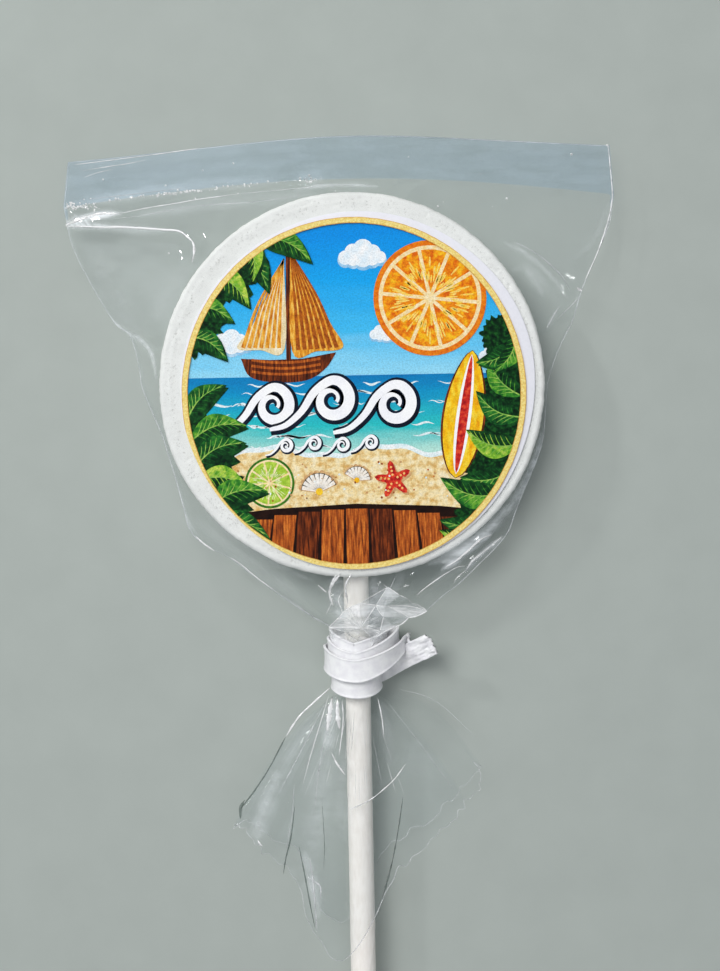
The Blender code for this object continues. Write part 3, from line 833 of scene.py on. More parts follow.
def lineBundle(name, lines):
    # each line is its path, its radius, which of the three films it is, and how much of each end tapers
    points, faces, paintOf = [], [], []
    count = 0
    for number, (path, radius, kind, taper) in enumerate(lines):
        path = np.asarray(path, float)
        share = np.linspace(0, 1, len(path))
        uneven = 0.8 + 0.4 * valueNoise(share * 40, 0 * share, 2.2, 200 + number)
        ends = np.clip(np.minimum(share, 1 - share) / max(taper, 1e-3), 0.02, 1)
        tubePoints, tubeFaces = tubeAlong(path, lineBoldness * radius * uneven * np.sqrt(ends))
        points.append(tubePoints)
        faces += [[index + count for index in face] for face in tubeFaces]
        paintOf += [lineInks[kind]] * len(tubeFaces)
        count += len(tubePoints)
    films = [paintedGlintFilm, paintedSheenFilm, paintedFoldShadeFilm]
    return onBody(meshPiece(name, np.concatenate(points), faces, films, paintOf), "film")


def overFront(path, lift=0.02, perSpan=10):
    return [(x, y, frontHeightAt(x, y) + lift) for x, y, _ in smoothCurve(path, perSpan)]


# lines of painted glint and sheen along the front film's crests and edges
bagLines = [
    (frontFolds[0][0], 0.15, "bright", 0.12),
    (frontFolds[1][0][:5], 0.21, "bright", 0.12),
    (frontFolds[1][0][4:9], 0.055, "bright", 0.1),
    (frontFolds[1][0][8:], 0.035, "soft", 0.1),
    (frontFolds[2][0], 0.04, "soft", 0.3),
    (((-45.6, 37.8), (-40.5, 38.5), (-37.8, 38.8), (-34.3, 39.4)), 0.045, "bright", 0.3),
    (((-45.3, 36.6), (-42.9, 37.4), (-40.0, 38.0)), 0.035, "bright", 0.3),
    (((-46.9, 38.9), (-39.8, 39.6), (-34.3, 40.1), (-25.1, 41.0)), 0.05, "bright", 0.1),
    (((-44.5, 32.9), (-36, 33.6), (-27, 34.4)), 0.03, "soft", 0.2),
    (((-27.1, -24.9), (-25.6, -26.3), (-23.9, -27.5)), 0.11, "bright", 0.25),
    (((-21.3, -28.6), (-19.3, -30.0), (-16.4, -32.5), (-13.2, -34.8)), 0.08, "bright", 0.25),
    (((-12.7, -35), (-8.6, -38.1), (-5.9, -40.2)), 0.05, "soft", 0.3),
    (frontFolds[10][0], 0.17, "bright", 0.5),
    (frontFolds[11][0], 0.15, "bright", 0.35),
    (frontFolds[12][0], 0.075, "bright", 0.3),
    (frontFolds[13][0], 0.055, "bright", 0.3),
    (frontFolds[14][0], 0.15, "bright", 0.25),
    (frontFolds[15][0], 0.10, "bright", 0.25),
    (((-3.2, -31.6), (-4.0, -33.0), (-4.5, -34.6)), 0.14, "bright", 0.3),
    (((-4.5, -34.6), (-4.2, -36.4), (-5.2, -38.6)), 0.08, "bright", 0.3),
    (((-2.0, -34.0), (-3.0, -36.0), (-2.4, -38.2), (-3.4, -40.0)), 0.06, "bright", 0.3),
    (((4.6, -33.4), (5.6, -34.6), (6.4, -36.6)), 0.045, "bright", 0.3),
    (frontFolds[16][0], 0.11, "bright", 0.25),
    (frontFolds[17][0], 0.07, "bright", 0.25),
    (((6.6, -32.2), (5.4, -35.0), (4.8, -37.5)), 0.05, "soft", 0.3),
    (frontFolds[5][0], 0.09, "soft", 0.45),
    (((35.2, 12.8), (34.0, 11.0), (32.7, 8.8)), 0.07, "soft", 0.4),
    (((39.4, 15.0), (37.2, 12.8), (34.6, 10.4)), 0.06, "soft", 0.4),
    (((44.1, 40.4), (44.5, 40.3), (44.8, 36.4), (45.0, 32.0), (44.4, 28.4), (42.5, 22.8),
        (39.9, 17.2)), 0.075, "bright", 0.05),
    (((38.4, 16.0), (39.4, 15.5)), 0.17, "bright", 0.3),
    (((-48.1, 28.6), (-46.6, 28.9), (-44.2, 29.4)), 0.25, "bright", 0.5),
]


def buildBagLines():
    lines = [(overFront(path), radius, kind, taper) for path, radius, kind, taper in bagLines]
    # a line of painted sheen along the bag's cut edge
    outline = bagOutline()
    closed = np.vstack((outline, outline[:1])) * bagSettings["edgeLineInset"]
    spots = np.column_stack((closed, edgeHeight(closed[:, 0], closed[:, 1], bagSettings)))
    lines.append((spots, 0.05, "soft", 0.0))
    return lineBundle("foldCrests", lines)


buildBagLines()


# small blisters along the heat seal, white with painted glints
blisterSettings = {"corner": 60, "line": 80, "cluster": 26, "stray": 12, "smallest": 0.08, "largest": 0.24}


def buildBlisters(values):
    dice = random.Random(5)
    spots = []
    for _ in range(values["corner"]):
        spots.append((dice.triangular(-48.4, -41.8, -47.6), dice.gauss(31.6, 0.5)))
    for _ in range(values["line"]):
        x = dice.triangular(-43, -13, -30)
        spots.append((x, 32.6 + (x + 42) * 0.072 + dice.gauss(0, 0.16)))
    for _ in range(values["cluster"]):
        spots.append((dice.gauss(-6.2, 0.9), dice.gauss(35.0, 0.4)))
    for _ in range(values["stray"]):
        spots.append((dice.uniform(-44, 40), dice.uniform(29, 39)))
    spots += [(-25.9, 32.2), (-30.3, 22.7), (-18.6, 32.7)]
    points, faces = [], []
    for x, y in spots:
        size = dice.uniform(values["smallest"], values["largest"])
        z = frontHeightAt(x, y)
        first = len(points)
        for out, up in ((1, 0), (0.8, 0.42), (0.42, 0.7)):
            for side in range(8):
                turn = side / 8 * math.tau
                points.append(
                    (x + size * out * math.cos(turn), y + size * out * math.sin(turn), z + size * up)
                )
        points.append((x, y, z + size * 0.8))
        faces += gridFaces(3, 8, first, wrap=True)
        faces += fanFaces(len(points) - 1, first + 16, 8)
    return onBody(meshPiece("sealBlisters", points, faces, [paintedGlintFilm]), "film")


buildBlisters(blisterSettings)
print("fold crests and seal blisters ready")


# gathered neck and the bag's open end below the tie


skirtSettings = {
    "sides": 540,
    "steps": 84,
    "neckRadius": 3.1,
    "bandRadius": 3.9,
    "neckTop": -37.5,
    "neckEnd": -52.3,
    "leftAngle": 46,
    "rightAngle": -60,
    "length": 28.0,
    "perRadian": 3.4,
    "tongueLength": 13.0,
    "tongueAngle": 6,
    "tongueSpread": 12,
    "flareStart": 0.05,
    "halfHeight": 4.0,
    "pleats": ((7, 0.30), (13, 0.18), (29, 0.10), (51, 0.05)),
    "hemUneven": 0.05,
    "leftBow": 2.4,
    "rightBow": 3.4,
    "streaks": 34,
    "lowest": 0.05,
    "highest": 11.2,
}


def skirtGrid(values):
    turn = (np.arange(values["sides"]) / values["sides"] * math.tau)[None, :]
    share = np.linspace(0, 1, values["steps"])[:, None] ** 1.15
    left, right = math.radians(values["leftAngle"]), math.radians(values["rightAngle"])
    angle = (left + right) / 2 - (left - right) / 2 * np.cos(turn)
    tongue = np.exp(
        -(((angle - math.radians(values["tongueAngle"])) / math.radians(values["tongueSpread"])) ** 2)
    )
    length = values["length"] + values["perRadian"] * angle + values["tongueLength"] * tongue
    jag = valueNoise(turn * 20, 0 * turn, 4.2, 51) + 0.6 * valueNoise(turn * 20, 0 * turn, 1.1, 52)
    length = length * (1 + values["hemUneven"] * jag)
    away = share * length * (1 + 0.05 * np.sin(turn))
    flare = share / (share + values["flareStart"])
    neck = values["bandRadius"] * (1 - share)
    height = neck + values["halfHeight"] * share
    # pleats start sharp at the tie and open out towards the hem
    pleat = 0 * turn * share
    for count, depth in values["pleats"]:
        phase = count * turn + 1.6 * share * valueNoise(turn * 9, 0 * turn, 2.0, 60 + count)
        phase = phase + 1.1 * valueNoise(turn * 12, share * 6, 3.0, 160 + count)
        sawtooth = 2 / math.pi * np.arcsin(np.sin(phase + 0.5 * np.sin(phase)))
        opening = np.sqrt(share) if count < 20 else np.sqrt(share) * np.exp(-1.6 * share) * 2.0
        pleat = pleat + depth * opening * sawtooth
    x = neck * np.cos(turn) - away * np.sin(angle) * flare
    y = values["neckEnd"] - away * np.cos(angle) + 0 * x
    # both side edges bow outwards
    bow = np.sin(math.pi * share**0.8)
    onLeft, onRight = np.clip(angle / left, 0, 1) ** 3, np.clip(angle / right, 0, 1) ** 3
    x = x + bow * (values["rightBow"] * 0.5 * onRight - values["leftBow"] * 0.7 * onLeft)
    y = y + bow * (values["rightBow"] * 0.87 * onRight + values["leftBow"] * 0.7 * onLeft)
    # the right half lies smoother; long soft waves, and the fine crackle of film that has been bunched
    pleat = pleat * (0.3 + 0.7 * np.clip((2.0 - x) / 6.0, 0, 1))
    pleat = pleat + share * 0.4 * valueNoise(x, y, 7.0, 53) + share * 0.07 * valueNoise(x, y, 1.7, 54)
    z = axisZ + height * np.sin(turn) + pleat
    return x, y, np.clip(z, values["lowest"], values["highest"])


# painted glare and glints on the skirt: path, half width and strength
skirtGlare = (
    (((-3.9, -52.5), (-4.6, -56.5), (-5.4, -61.0)), 1.1, 0.30),
    (((-7.0, -54.0), (-11.0, -61.0), (-15.0, -68.0)), 1.2, 0.11),
    (((-14.0, -65.0), (-16.2, -71.0), (-17.7, -76.0)), 1.3, 0.26),
    (((-5.0, -60.0), (-7.0, -70.0), (-8.0, -80.0)), 2.0, 0.13),
    (((-9.5, -78.0), (-8.0, -84.0), (-7.4, -89.0)), 0.9, 0.28),
    (((-2.5, -60.0), (-3.0, -68.0), (-3.0, -76.0)), 1.2, 0.10),
    (((3.6, -53.0), (4.6, -58.0), (5.0, -64.0)), 0.9, 0.10),
    (((9.0, -60.0), (11.0, -68.0)), 2.0, 0.03),
)
# lines on the front half of the skirt, of painted glint, sheen and fold shade: path, radius, kind, taper
skirtLines = [
    (((-4.7, -51.0), (-8.0, -53.9), (-10.2, -56.0), (-12.4, -59.2)), 0.12, "bright", 0.15),
    (((-12.4, -59.2), (-15.3, -64.4), (-18.0, -68.4), (-20.4, -71.4)), 0.09, "dark", 0.1),
    (((-19.6, -69.8), (-20.3, -71.2), (-20.3, -72.9)), 0.20, "dark", 0.4),
    (((-4.4, -52.6), (-4.9, -55.2), (-5.3, -58.0)), 0.34, "bright", 0.4),
    (((-3.5, -52.6), (-3.5, -55.4), (-3.2, -57.6)), 0.30, "bright", 0.4),
    (((-5.0, -52.4), (-6.2, -56.0), (-7.9, -61.2), (-9.6, -67.0)), 0.06, "bright", 0.3),
    (((-2.7, -52.8), (-2.6, -56.2), (-3.4, -62.2)), 0.07, "bright", 0.3),
    (((-4.6, -61.6), (-3.8, -63.2), (-2.4, -65.2)), 0.13, "bright", 0.4),
    (((-4.0, -53.0), (-6.4, -62.0), (-7.8, -72.0)), 0.04, "soft", 0.2),
    (((-5.4, -53.0), (-9.6, -61.0), (-14.2, -69.4)), 0.04, "soft", 0.2),
    (((-11.0, -66.8), (-11.5, -72.0), (-12.7, -78.4)), 0.05, "soft", 0.2),
    (((-11.0, -70.5), (-11.7, -75.5), (-12.7, -79.4), (-13.1, -81.8)), 0.10, "dark", 0.4),
    (((-10.4, -77.0), (-9.2, -83.4), (-7.9, -90.6)), 0.08, "dark", 0.3),
    (((-8.6, -79.0), (-8.0, -84.4), (-7.6, -91.4)), 0.10, "soft", 0.3),
    (((-9.0, -82.2), (-7.0, -83.6), (-6.9, -85.8)), 0.12, "soft", 0.4),
    (((-6.4, -69.0), (-6.1, -76.0), (-6.3, -81.0)), 0.04, "dark", 0.3),
    (((-2.3, -71.2), (1.6, -69.4), (5.5, -66.3), (7.7, -63.6)), 0.06, "bright", 0.15),
    (((3.3, -52.6), (3.9, -55.6), (4.2, -58.8)), 0.09, "bright", 0.4),
    (((7.2, -68.9), (6.2, -75.0), (4.8, -81.6)), 0.07, "dark", 0.25),
    (((5.2, -79.6), (4.2, -83.2), (3.4, -86.0)), 0.13, "dark", 0.4),
    (((-17.4, -76.2), (-17.0, -76.8), (-16.6, -77.2)), 0.14, "bright", 0.4),
    (((6.6, -51.4), (13.0, -53.6), (19.8, -59.8)), 0.03, "soft", 0.3),
    (((5.0, -53.4), (10.4, -60.6), (15.6, -68.0)), 0.03, "soft", 0.2),
]


def buildSkirt(values):
    x, y, z = skirtGrid(values)
    turn = np.arange(values["sides"]) / values["sides"] * math.tau
    rings = []
    for share in np.linspace(0, 1, 16)[:-1]:
        wrinkle = 1 + 0.05 * valueNoise(turn * 12, 0 * turn + share, 1.0, 71)
        widened = values["neckRadius"] + (values["bandRadius"] - values["neckRadius"]) * share**2
        radius = widened * wrinkle
        level = values["neckTop"] + share * (values["neckEnd"] - values["neckTop"])
        ring = (radius * np.cos(turn), 0 * turn + level, axisZ + radius * np.sin(turn))
        rings.append(np.stack(ring, -1))
    rows = np.concatenate((np.array(rings), np.stack((x, y, z), -1)))
    faces = gridFaces(len(rows), values["sides"], wrap=True)
    # the right edge is barely seen
    calm = np.broadcast_to(np.cos(turn) > 0.75, (len(rows) - 1, values["sides"])).ravel()
    piece = meshPiece("bagSkirt", rows.reshape(-1, 3), faces, [clearFilm, restingFilm], calm.astype(int))
    onBody(piece, "film")
    piece.visible_shadow = False
    fade = np.where(rows[..., 2] > axisZ, 1.0, 0.0)
    addHazeAndGlare(piece, rows[..., 0] + (1 - fade) * 90, rows[..., 1], skirtGlare)
    front = slice(4, values["sides"] // 2 - 4)
    frontXs, frontYs, frontZs = x[:, front].ravel(), y[:, front].ravel(), z[:, front].ravel()

    def onSkirt(path):
        # the nearest point of the skirt's front half gives the height
        spots = []
        for px, py, _ in smoothCurve(path, 8):
            nearest = np.argmin((frontXs - px) ** 2 + (frontYs - py) ** 2)
            spots.append((px, py, frontZs[nearest] + 0.03))
        return spots

    lines = [(onSkirt(path), radius, kind, taper) for path, radius, kind, taper in skirtLines]
    # fine streaks of painted glint and sheen that fan out from the tie
    dice = random.Random(58)
    for _ in range(values["streaks"]):
        lean, start = dice.triangular(-0.62, 0.42, -0.3), dice.uniform(1.0, 14.0)
        length = dice.uniform(2.5, 9.0)
        path = []
        for away in (start, start + length / 2, start + length):
            sideways = away * math.sin(lean) + 3.4 * math.sin(lean * 2)
            path.append((sideways, values["neckEnd"] - away * math.cos(lean)))
        lines.append(
            (onSkirt(path), dice.uniform(0.012, 0.032), dice.choice(("bright", "soft", "soft")), 0.5)
        )
    # a line of painted sheen along the hem
    hem = rows[-1]
    lines.append((np.vstack((hem, hem[:1])), 0.035, "soft", 0.0))
    return lineBundle("skirtCrests", lines)


buildSkirt(skirtSettings)
print("neck and skirt ready")


# the crumpled flap of film that stands out over the tie


flapSettings = {
    # corners of the crumpled flap, round its knot
    "corners": {
        "knot": (0.7, -40.6, 9.9), "left": (-4.7, -40.5, 9.0), "leftRise": (-2.9, -38.8, 9.8),
        "fold": (-1.0, -37.1, 9.5), "topLeft": (0.6, -36.5, 10.2), "topMiddle": (3.3, -36.9, 9.6),
        "topRight": (5.0, -37.0, 10.1), "peak": (5.3, -33.9, 9.4), "shoulder": (7.3, -35.3, 9.9),
        "slope": (9.4, -36.7, 9.5), "right": (11.8, -38.0, 9.9), "lowRight": (8.7, -39.1, 9.6),
        "low": (6.4, -40.6, 10.1), "bend": (4.5, -38.8, 10.4), "bendLow": (3.9, -41.2, 9.8),
        "tip": (2.9, -42.5, 10.3), "lowLeft": (-1.8, -41.3, 9.5), "seat": (0.3, -42.0, 9.7),
        "cuffLeft": (-4.2, -42.6, 8.6), "cuffMiddle": (-1.4, -44.4, 9.4), "cuffRight": (2.2, -44.6, 9.3),
        "cuffEnd": (4.4, -42.6, 8.7), "hollow": (0.2, -43.1, 8.8),
    },
    "facets": (
        ("knot", "left", "leftRise", 2), ("knot", "leftRise", "fold", 1), ("knot", "fold", "topLeft", 2),
        ("knot", "topLeft", "topMiddle", 1), ("knot", "topMiddle", "bend", 0),
        ("knot", "bend", "bendLow", 0), ("topMiddle", "topRight", "bend", 1),
        ("topLeft", "peak", "topMiddle", 0), ("topMiddle", "peak", "topRight", 1),
        ("topRight", "peak", "shoulder", 1), ("topRight", "shoulder", "slope", 0),
        ("topRight", "slope", "right", 1), ("topRight", "right", "lowRight", 2),
        ("bend", "topRight", "lowRight", 1), ("bend", "lowRight", "low", 0),
        ("bend", "low", "bendLow", 1), ("bendLow", "low", "tip", 0), ("knot", "bendLow", "tip", 1),
        ("knot", "tip", "seat", 0), ("knot", "seat", "lowLeft", 1), ("knot", "lowLeft", "left", 1),
        ("lowLeft", "left", "cuffLeft", 1), ("lowLeft", "cuffLeft", "cuffMiddle", 2),
        ("lowLeft", "cuffMiddle", "hollow", 1), ("lowLeft", "hollow", "seat", 0),
        ("seat", "hollow", "tip", 2), ("hollow", "cuffMiddle", "cuffRight", 2),
        ("hollow", "cuffRight", "tip", 1), ("tip", "cuffRight", "cuffEnd", 2),
        ("tip", "cuffEnd", "bendLow", 1),
    ),
    # edges drawn as lines of painted glint, and how thick each line is
    "edges": (
        ("left", "leftRise", 0.085), ("leftRise", "fold", 0.06), ("fold", "topLeft", 0.04),
        ("topLeft", "topMiddle", 0.07), ("topMiddle", "topRight", 0.06), ("topRight", "right", 0.055),
        ("left", "knot", 0.07), ("knot", "fold", 0.05), ("knot", "topMiddle", 0.055),
        ("peak", "shoulder", 0.045), ("shoulder", "slope", 0.05), ("slope", "right", 0.055),
        ("right", "lowRight", 0.085), ("lowRight", "low", 0.085), ("low", "tip", 0.07),
        ("knot", "tip", 0.045), ("topMiddle", "bend", 0.04), ("bend", "bendLow", 0.07),
        ("bendLow", "knot", 0.06), ("topRight", "lowRight", 0.035), ("peak", "topMiddle", 0.03),
        ("knot", "lowLeft", 0.05), ("lowLeft", "left", 0.05), ("knot", "topLeft", 0.035),
        ("lowLeft", "hollow", 0.06), ("hollow", "tip", 0.05), ("hollow", "cuffMiddle", 0.035),
        ("seat", "hollow", 0.03), ("left", "cuffLeft", 0.04), ("fold", "topMiddle", 0.03),
        ("leftRise", "knot", 0.04), ("topLeft", "peak", 0.035),
    ),
    "pieces": 6,
    "crumple": 0.16,
    "bow": 0.06,
    "creaseGlints": 46,
    "creaseGlintHeight": 10.05,
}


def buildFlap(values):
    corners = {name: np.array(place) for name, place in values["corners"].items()}
    count = values["pieces"]
    points, faces, paintOf = [], [], []
    for first, second, third, paint in values["facets"]:
        a, b, c = corners[first], corners[second], corners[third]
        indices = {}
        for i in range(count + 1):
            for j in range(count + 1 - i):
                k = count - i - j
                spot = (a * i + b * j + c * k) / count
                # the crumpling fades to nothing at a facet's edges, so neighbours meet
                inside = min(1, 27 * i * j * k / count**3)
                lump = valueNoise(spot[0] + 50, spot[1], 0.55, 83)
                lump = lump + valueNoise(spot[0], spot[1] + 50, 1.3, 84)
                indices[i, j] = len(points)
                points.append((spot[0], spot[1], spot[2] + values["crumple"] * float(lump) * inside))
        for i in range(count):
            for j in range(count - i):
                faces.append([indices[i, j], indices[i + 1, j], indices[i, j + 1]])
                if i + j < count - 1:
                    faces.append([indices[i + 1, j], indices[i + 1, j + 1], indices[i, j + 1]])
        paintOf += [paint] * (len(faces) - len(paintOf))
    flap = meshPiece("neckFlap", points, faces, [hazyFilm, cloudedFilm, milkyFilm], paintOf, smooth=False)
    flap.visible_shadow = False
    onBody(flap, "film")
    lines = []
    for first, second, radius in values["edges"]:
        a, b = corners[first], corners[second]
        share = np.linspace(0, 1, 14)[:, None]
        # some edges bow one way, some the other, and the rest are straight
        side = values["bow"] * (len(first) % 3 - 1)
        bow = side * np.sin(np.pi * share) * np.array((a[1] - b[1], b[0] - a[0], 0))
        lines.append((a + share * (b - a) + bow + (0, 0, 0.03), radius, "bright", 0.15))
    # short lines of painted glint and sheen along creases that fan out from the knot
    dice = random.Random(85)
    knot = corners["knot"]
    for _ in range(values["creaseGlints"]):
        turn, start = math.radians(dice.uniform(-35, 215)), dice.uniform(0.3, 2.6)
        length = dice.uniform(0.8, 2.4)
        sway = dice.uniform(-0.25, 0.25)
        path = []
        for step in np.linspace(0, 1, 8):
            away = start + length * step
            x = knot[0] + away * math.cos(turn + sway * step)
            y = knot[1] + 0.9 * away * math.sin(turn + sway * step)
            path.append((x, y, values["creaseGlintHeight"] - 0.04 * away))
        lines.append((path, dice.uniform(0.02, 0.045), dice.choice(("bright", "soft")), 0.4))
    return lineBundle("flapCrests", lines)


buildFlap(flapSettings)
print("neck flap ready")


# tie wound round the neck


tieSettings = {
    "width": 3.9,
    "thickness": 0.34,
    "rib": 0.13,
    "ribPlace": 0.9,
    # each turn: radius, reach to the right, height at the sides and in front, rise and pinch at the
    # right, and how far the front is drawn down to a point
    "turns": (
        (4.35, 3.9, -48.9, -50.5, 0.0, 0.0, 0.0),
        (4.5, 5.0, -42.9, -44.2, 0.5, 0.35, 0.9),
        (4.9, 7.0, -44.3, -46.5, 2.3, 0.30, 0.0),
        (5.5, 7.9, -45.7, -47.7, 2.0, 0.35, 0.0),
    ),
    "steps": 36,
    "tailSteps": 22,
    "tail": ((12.6, -43.7, 8.2), (7.6, -46.4, 4.9), (3.2, -49.0, 2.3)),
    "end": ((8.5, -43.3, 5.0), (9.0, -42.8, 5.2)),
    "tearDepth": 0.55,
    "lowest": 0.05,
    "highest": 11.75,
    "crumple": 0.42,
    "colour": (244, 244, 245),
    "shadeColour": (232, 231, 235),
}


def tieMaterial(values):
    paint, nodes, links, shader = solidMaterial("whiteTie")
    cloudy = noiseTexture(nodes, links, 1.6, detail=4)
    grain = noiseTexture(nodes, links, 0.22, detail=2)
    light, shade = screenColour(*values["colour"]), screenColour(*values["shadeColour"])
    base = colourSteps(nodes, links, cloudy.outputs["Fac"], [(0.35, shade), (0.6, light)])
    links.new(base, shader.inputs["Base Color"])
    shader.inputs["Roughness"].default_value = 0.3
    links.new(bumpFrom(nodes, links, grain.outputs["Fac"], 0.015, 0.4), shader.inputs["Normal"])
    return paint


def tiePath(values):
    # the band's middle line, and how much of its width is left where it is pinched
    steps = values["steps"]
    spots = [Vector(spot) for spot in values["tail"]]
    radius, _, sideY = values["turns"][0][:3]
    for turnDegrees, lowering in ((260, 1.0), (233, 0.5), (206, 0.0)):
        turn = math.radians(turnDegrees)
        spots.append(Vector((radius * math.cos(turn), sideY - lowering, axisZ + radius * math.sin(turn))))
    path = [(Vector(spot), 1.0) for spot in smoothCurve(spots, values["tailSteps"])[:-1]]
    for index, (radius, right, sideY, frontY, rise, pinch, point) in enumerate(values["turns"]):
        following = values["turns"][min(index + 1, len(values["turns"]) - 1)]
        last = index == len(values["turns"]) - 1
        for step in range(steps if last else 2 * steps):
            turn = math.pi - math.pi * step / steps
            share = min(max(step / steps - 1, 0), 1)
            share = share * share * (3 - 2 * share)
            ring = radius + share * (following[0] - radius)
            bulge = right - radius + share * (following[1] - following[0] - right + radius)
            y = sideY + share * (following[2] - sideY)
            front = max(math.sin(turn), 0)
            y += (frontY - sideY) * front**1.3 - point * front * max(1 - abs(math.cos(turn) + 0.14), 0) ** 1.2
            toRight = max(math.cos(turn), 0)
            y += rise * toRight**1.5
            x = ring * math.cos(turn) + bulge * toRight**1.5
            path.append((Vector((x, y, axisZ + ring * math.sin(turn))), 1 - pinch * toRight**2))
    lastSpot, lastWidth = path[-1]
    ending = smoothCurve([tuple(path[-2][0]), tuple(lastSpot), *values["end"]], 10)[11:]
    return path + [(Vector(spot), lastWidth) for spot in ending]


def buildTie(values):
    path = tiePath(values)
    half, skin = values["width"] / 2, values["thickness"] / 2
    # the band's section: a low crisp rib along each edge and a slight hollow between them
    across = np.concatenate(([-1, -0.985, -0.96], np.linspace(-0.93, 0.93, 31), [0.96, 0.985, 1]))
    rib = values["rib"] * np.exp(-(((np.abs(across) - values["ribPlace"]) / 0.07) ** 2))
    hollow = -0.06 * np.exp(-((across / 0.6) ** 2))
    edge = np.sqrt(np.clip(1 - ((np.abs(across) - 0.93) / 0.07).clip(0, 1) ** 2, 0.05, 1))
    section = [(a * half, skin * e + r + h) for a, e, r, h in zip(across, edge, rib, hollow)]
    section += [(a * half, -skin * e) for a, e in zip(across[::-1], edge[::-1])]
    tear = valueNoise(across * 4, 0 * across, 0.9, 17) + 0.6 * valueNoise(across * 9, 0 * across, 0.9, 18)
    tear = values["tearDepth"] * np.concatenate((tear, tear[::-1]))
    crumpled = 2 * values["tailSteps"]
    rows = []
    for index, (spot, share) in enumerate(path):
        before, after = path[max(index - 1, 0)][0], path[min(index + 1, len(path) - 1)][0]
        along = (after - before).normalized()
        outward = Vector((spot.x, 0, spot.z - axisZ)).normalized()
        if index < 3 * values["tailSteps"]:
            blend = min(max((index / values["tailSteps"] - 1.6) / 1.2, 0), 1)
            outward = Vector((0, 0, -1)).lerp(outward, blend).normalized()
        width = along.cross(outward).normalized()
        if width.y < 0:
            width = -width
        normal = width.cross(along).normalized()
        if normal.dot(outward) < 0:
            normal = -normal
        fromEnd = len(path) - 1 - index
        row = []
        for number, (sideways, up) in enumerate(section):
            point = spot + width * sideways * share + normal * up
            away = index * 0.25
            if index < crumpled:
                loose = (1 - index / crumpled) ** 1.5
                point = point - along * tear[number] * loose
                folds = valueNoise(sideways + 40, away, 1.1, 19)
                folds = folds + 0.7 * abs(valueNoise(sideways, away + 30, 0.6, 20))
                folds = folds + 0.3 * valueNoise(sideways + 9, away, 0.3, 21)
                point = point + normal * float(values["crumple"] * folds * loose)
            if fromEnd < 14:
                folds = valueNoise(sideways + 60, fromEnd * 0.2, 0.8, 22)
                folds = folds + 0.4 * valueNoise(sideways, fromEnd * 0.2, 0.35, 23)
                point = point + normal * float(values["crumple"] * 1.1 * folds * (1 - fromEnd / 14))
            row.append(tuple(point))
        rows.append(row)
    sides = len(section)
    points = np.array(rows).reshape(-1, 3)
    points[:, 2] = np.clip(points[:, 2], values["lowest"], values["highest"])
    faces = gridFaces(len(rows), sides, wrap=True)
    faces += [list(range(sides))[::-1], [len(points) - sides + i for i in range(sides)]]
    return onBody(meshPiece("neckTie", points, faces, [tieMaterial(values)]), "tie", "tie")


buildTie(tieSettings)
print("tie ready")


# printed sticker


stickerSettings = {
    "bottom": 10.92,
    "thickness": 0.22,
    # the cut edge's distance from the sticker's middle, every fifteen degrees
    "cutRadii": (
        29.44, 29.85, 30.03, 29.95, 29.95, 30.0, 30.05, 29.85, 29.64, 29.58, 29.62, 29.45,
        29.48, 29.28, 29.02, 28.92, 29.40, 29.5, 29.49, 29.35, 29.25, 29.06, 29.0, 29.1,
    ),
    "marginColour": (237, 237, 244),
    "printShift": (-0.6, -0.25),
    "printSqueeze": 0.977,
    "ringOuter": 29.25,
    "ringInner": 28.25,
    "layerStep": 0.0012,
    "grainSize": 0.26,
    "grain": 0.2,
}
labelX, labelY = (labelLow[0] + labelHigh[0]) / 2, (labelLow[1] + labelHigh[1]) / 2 - 0.1


def cutRadius(turns):
    # the sticker's cut edge, a smooth curve through the measured radii
    table = np.array(stickerSettings["cutRadii"])
    angles = np.arange(len(table)) / len(table) * math.tau
    smooth = np.full(np.shape(turns), table.mean())
    for wave in range(1, 7):
        smooth = smooth + 2 * (table * np.cos(wave * angles)).mean() * np.cos(wave * turns)
        smooth = smooth + 2 * (table * np.sin(wave * angles)).mean() * np.sin(wave * turns)
    return smooth


def inkMaterial(name, stops, size=2.5, stretch=(1, 1, 1), detail=4, grainy=1.0):
    # printed colours that run from the first to the last with the picture's brushwork, plus print grain
    paint, nodes, links, shader = solidMaterial(name)
    brush = noiseTexture(nodes, links, size, detail=detail, stretch=stretch)
    return finishInk(paint, nodes, links, shader, brush.outputs["Fac"], stops, 0.34, 0.66, grainy)


def gradientInk(name, stops, fromY, toY):
    # colours that change with height up the picture
    paint, nodes, links, shader = solidMaterial(name)
    coordinates = nodes.new("ShaderNodeTexCoord")
    split = nodes.new("ShaderNodeSeparateXYZ")
    links.new(coordinates.outputs["Object"], split.inputs["Vector"])
    up = scaled(nodes, links, split.outputs["Y"], -0.11, 0.89, fromY * mm, toY * mm)
    wave = noiseTexture(nodes, links, 3.2, detail=5, stretch=(0.3, 1.6, 1))
    shifted = nodes.new("ShaderNodeMath")
    shifted.operation = "MULTIPLY_ADD"
    shifted.inputs[1].default_value = 0.26
    links.new(wave.outputs["Fac"], shifted.inputs[0])
    links.new(up, shifted.inputs[2])
    return finishInk(paint, nodes, links, shader, shifted.outputs["Value"], stops, 0, 1, 1)


def finishInk(paint, nodes, links, shader, source, stops, low, high, grainy):
    places = [low + (high - low) * i / max(len(stops) - 1, 1) for i in range(len(stops))]
    base = colourSteps(nodes, links, source, [(p, screenColour(*c)) for p, c in zip(places, stops)])
    dots = noiseTexture(nodes, links, stickerSettings["grainSize"], detail=2)
    dark = 1 - stickerSettings["grain"] * grainy
    grain = colourSteps(nodes, links, dots.outputs["Fac"], [(0.36, (dark, dark, dark)), (0.6, (1, 1, 1))])
    links.new(mixedColour(nodes, links, base, grain, 1.0, "MULTIPLY"), shader.inputs["Base Color"])
    shader.inputs["Roughness"].default_value = 0.4
    shader.inputs["Specular IOR Level"].default_value = 0.3
    return paint


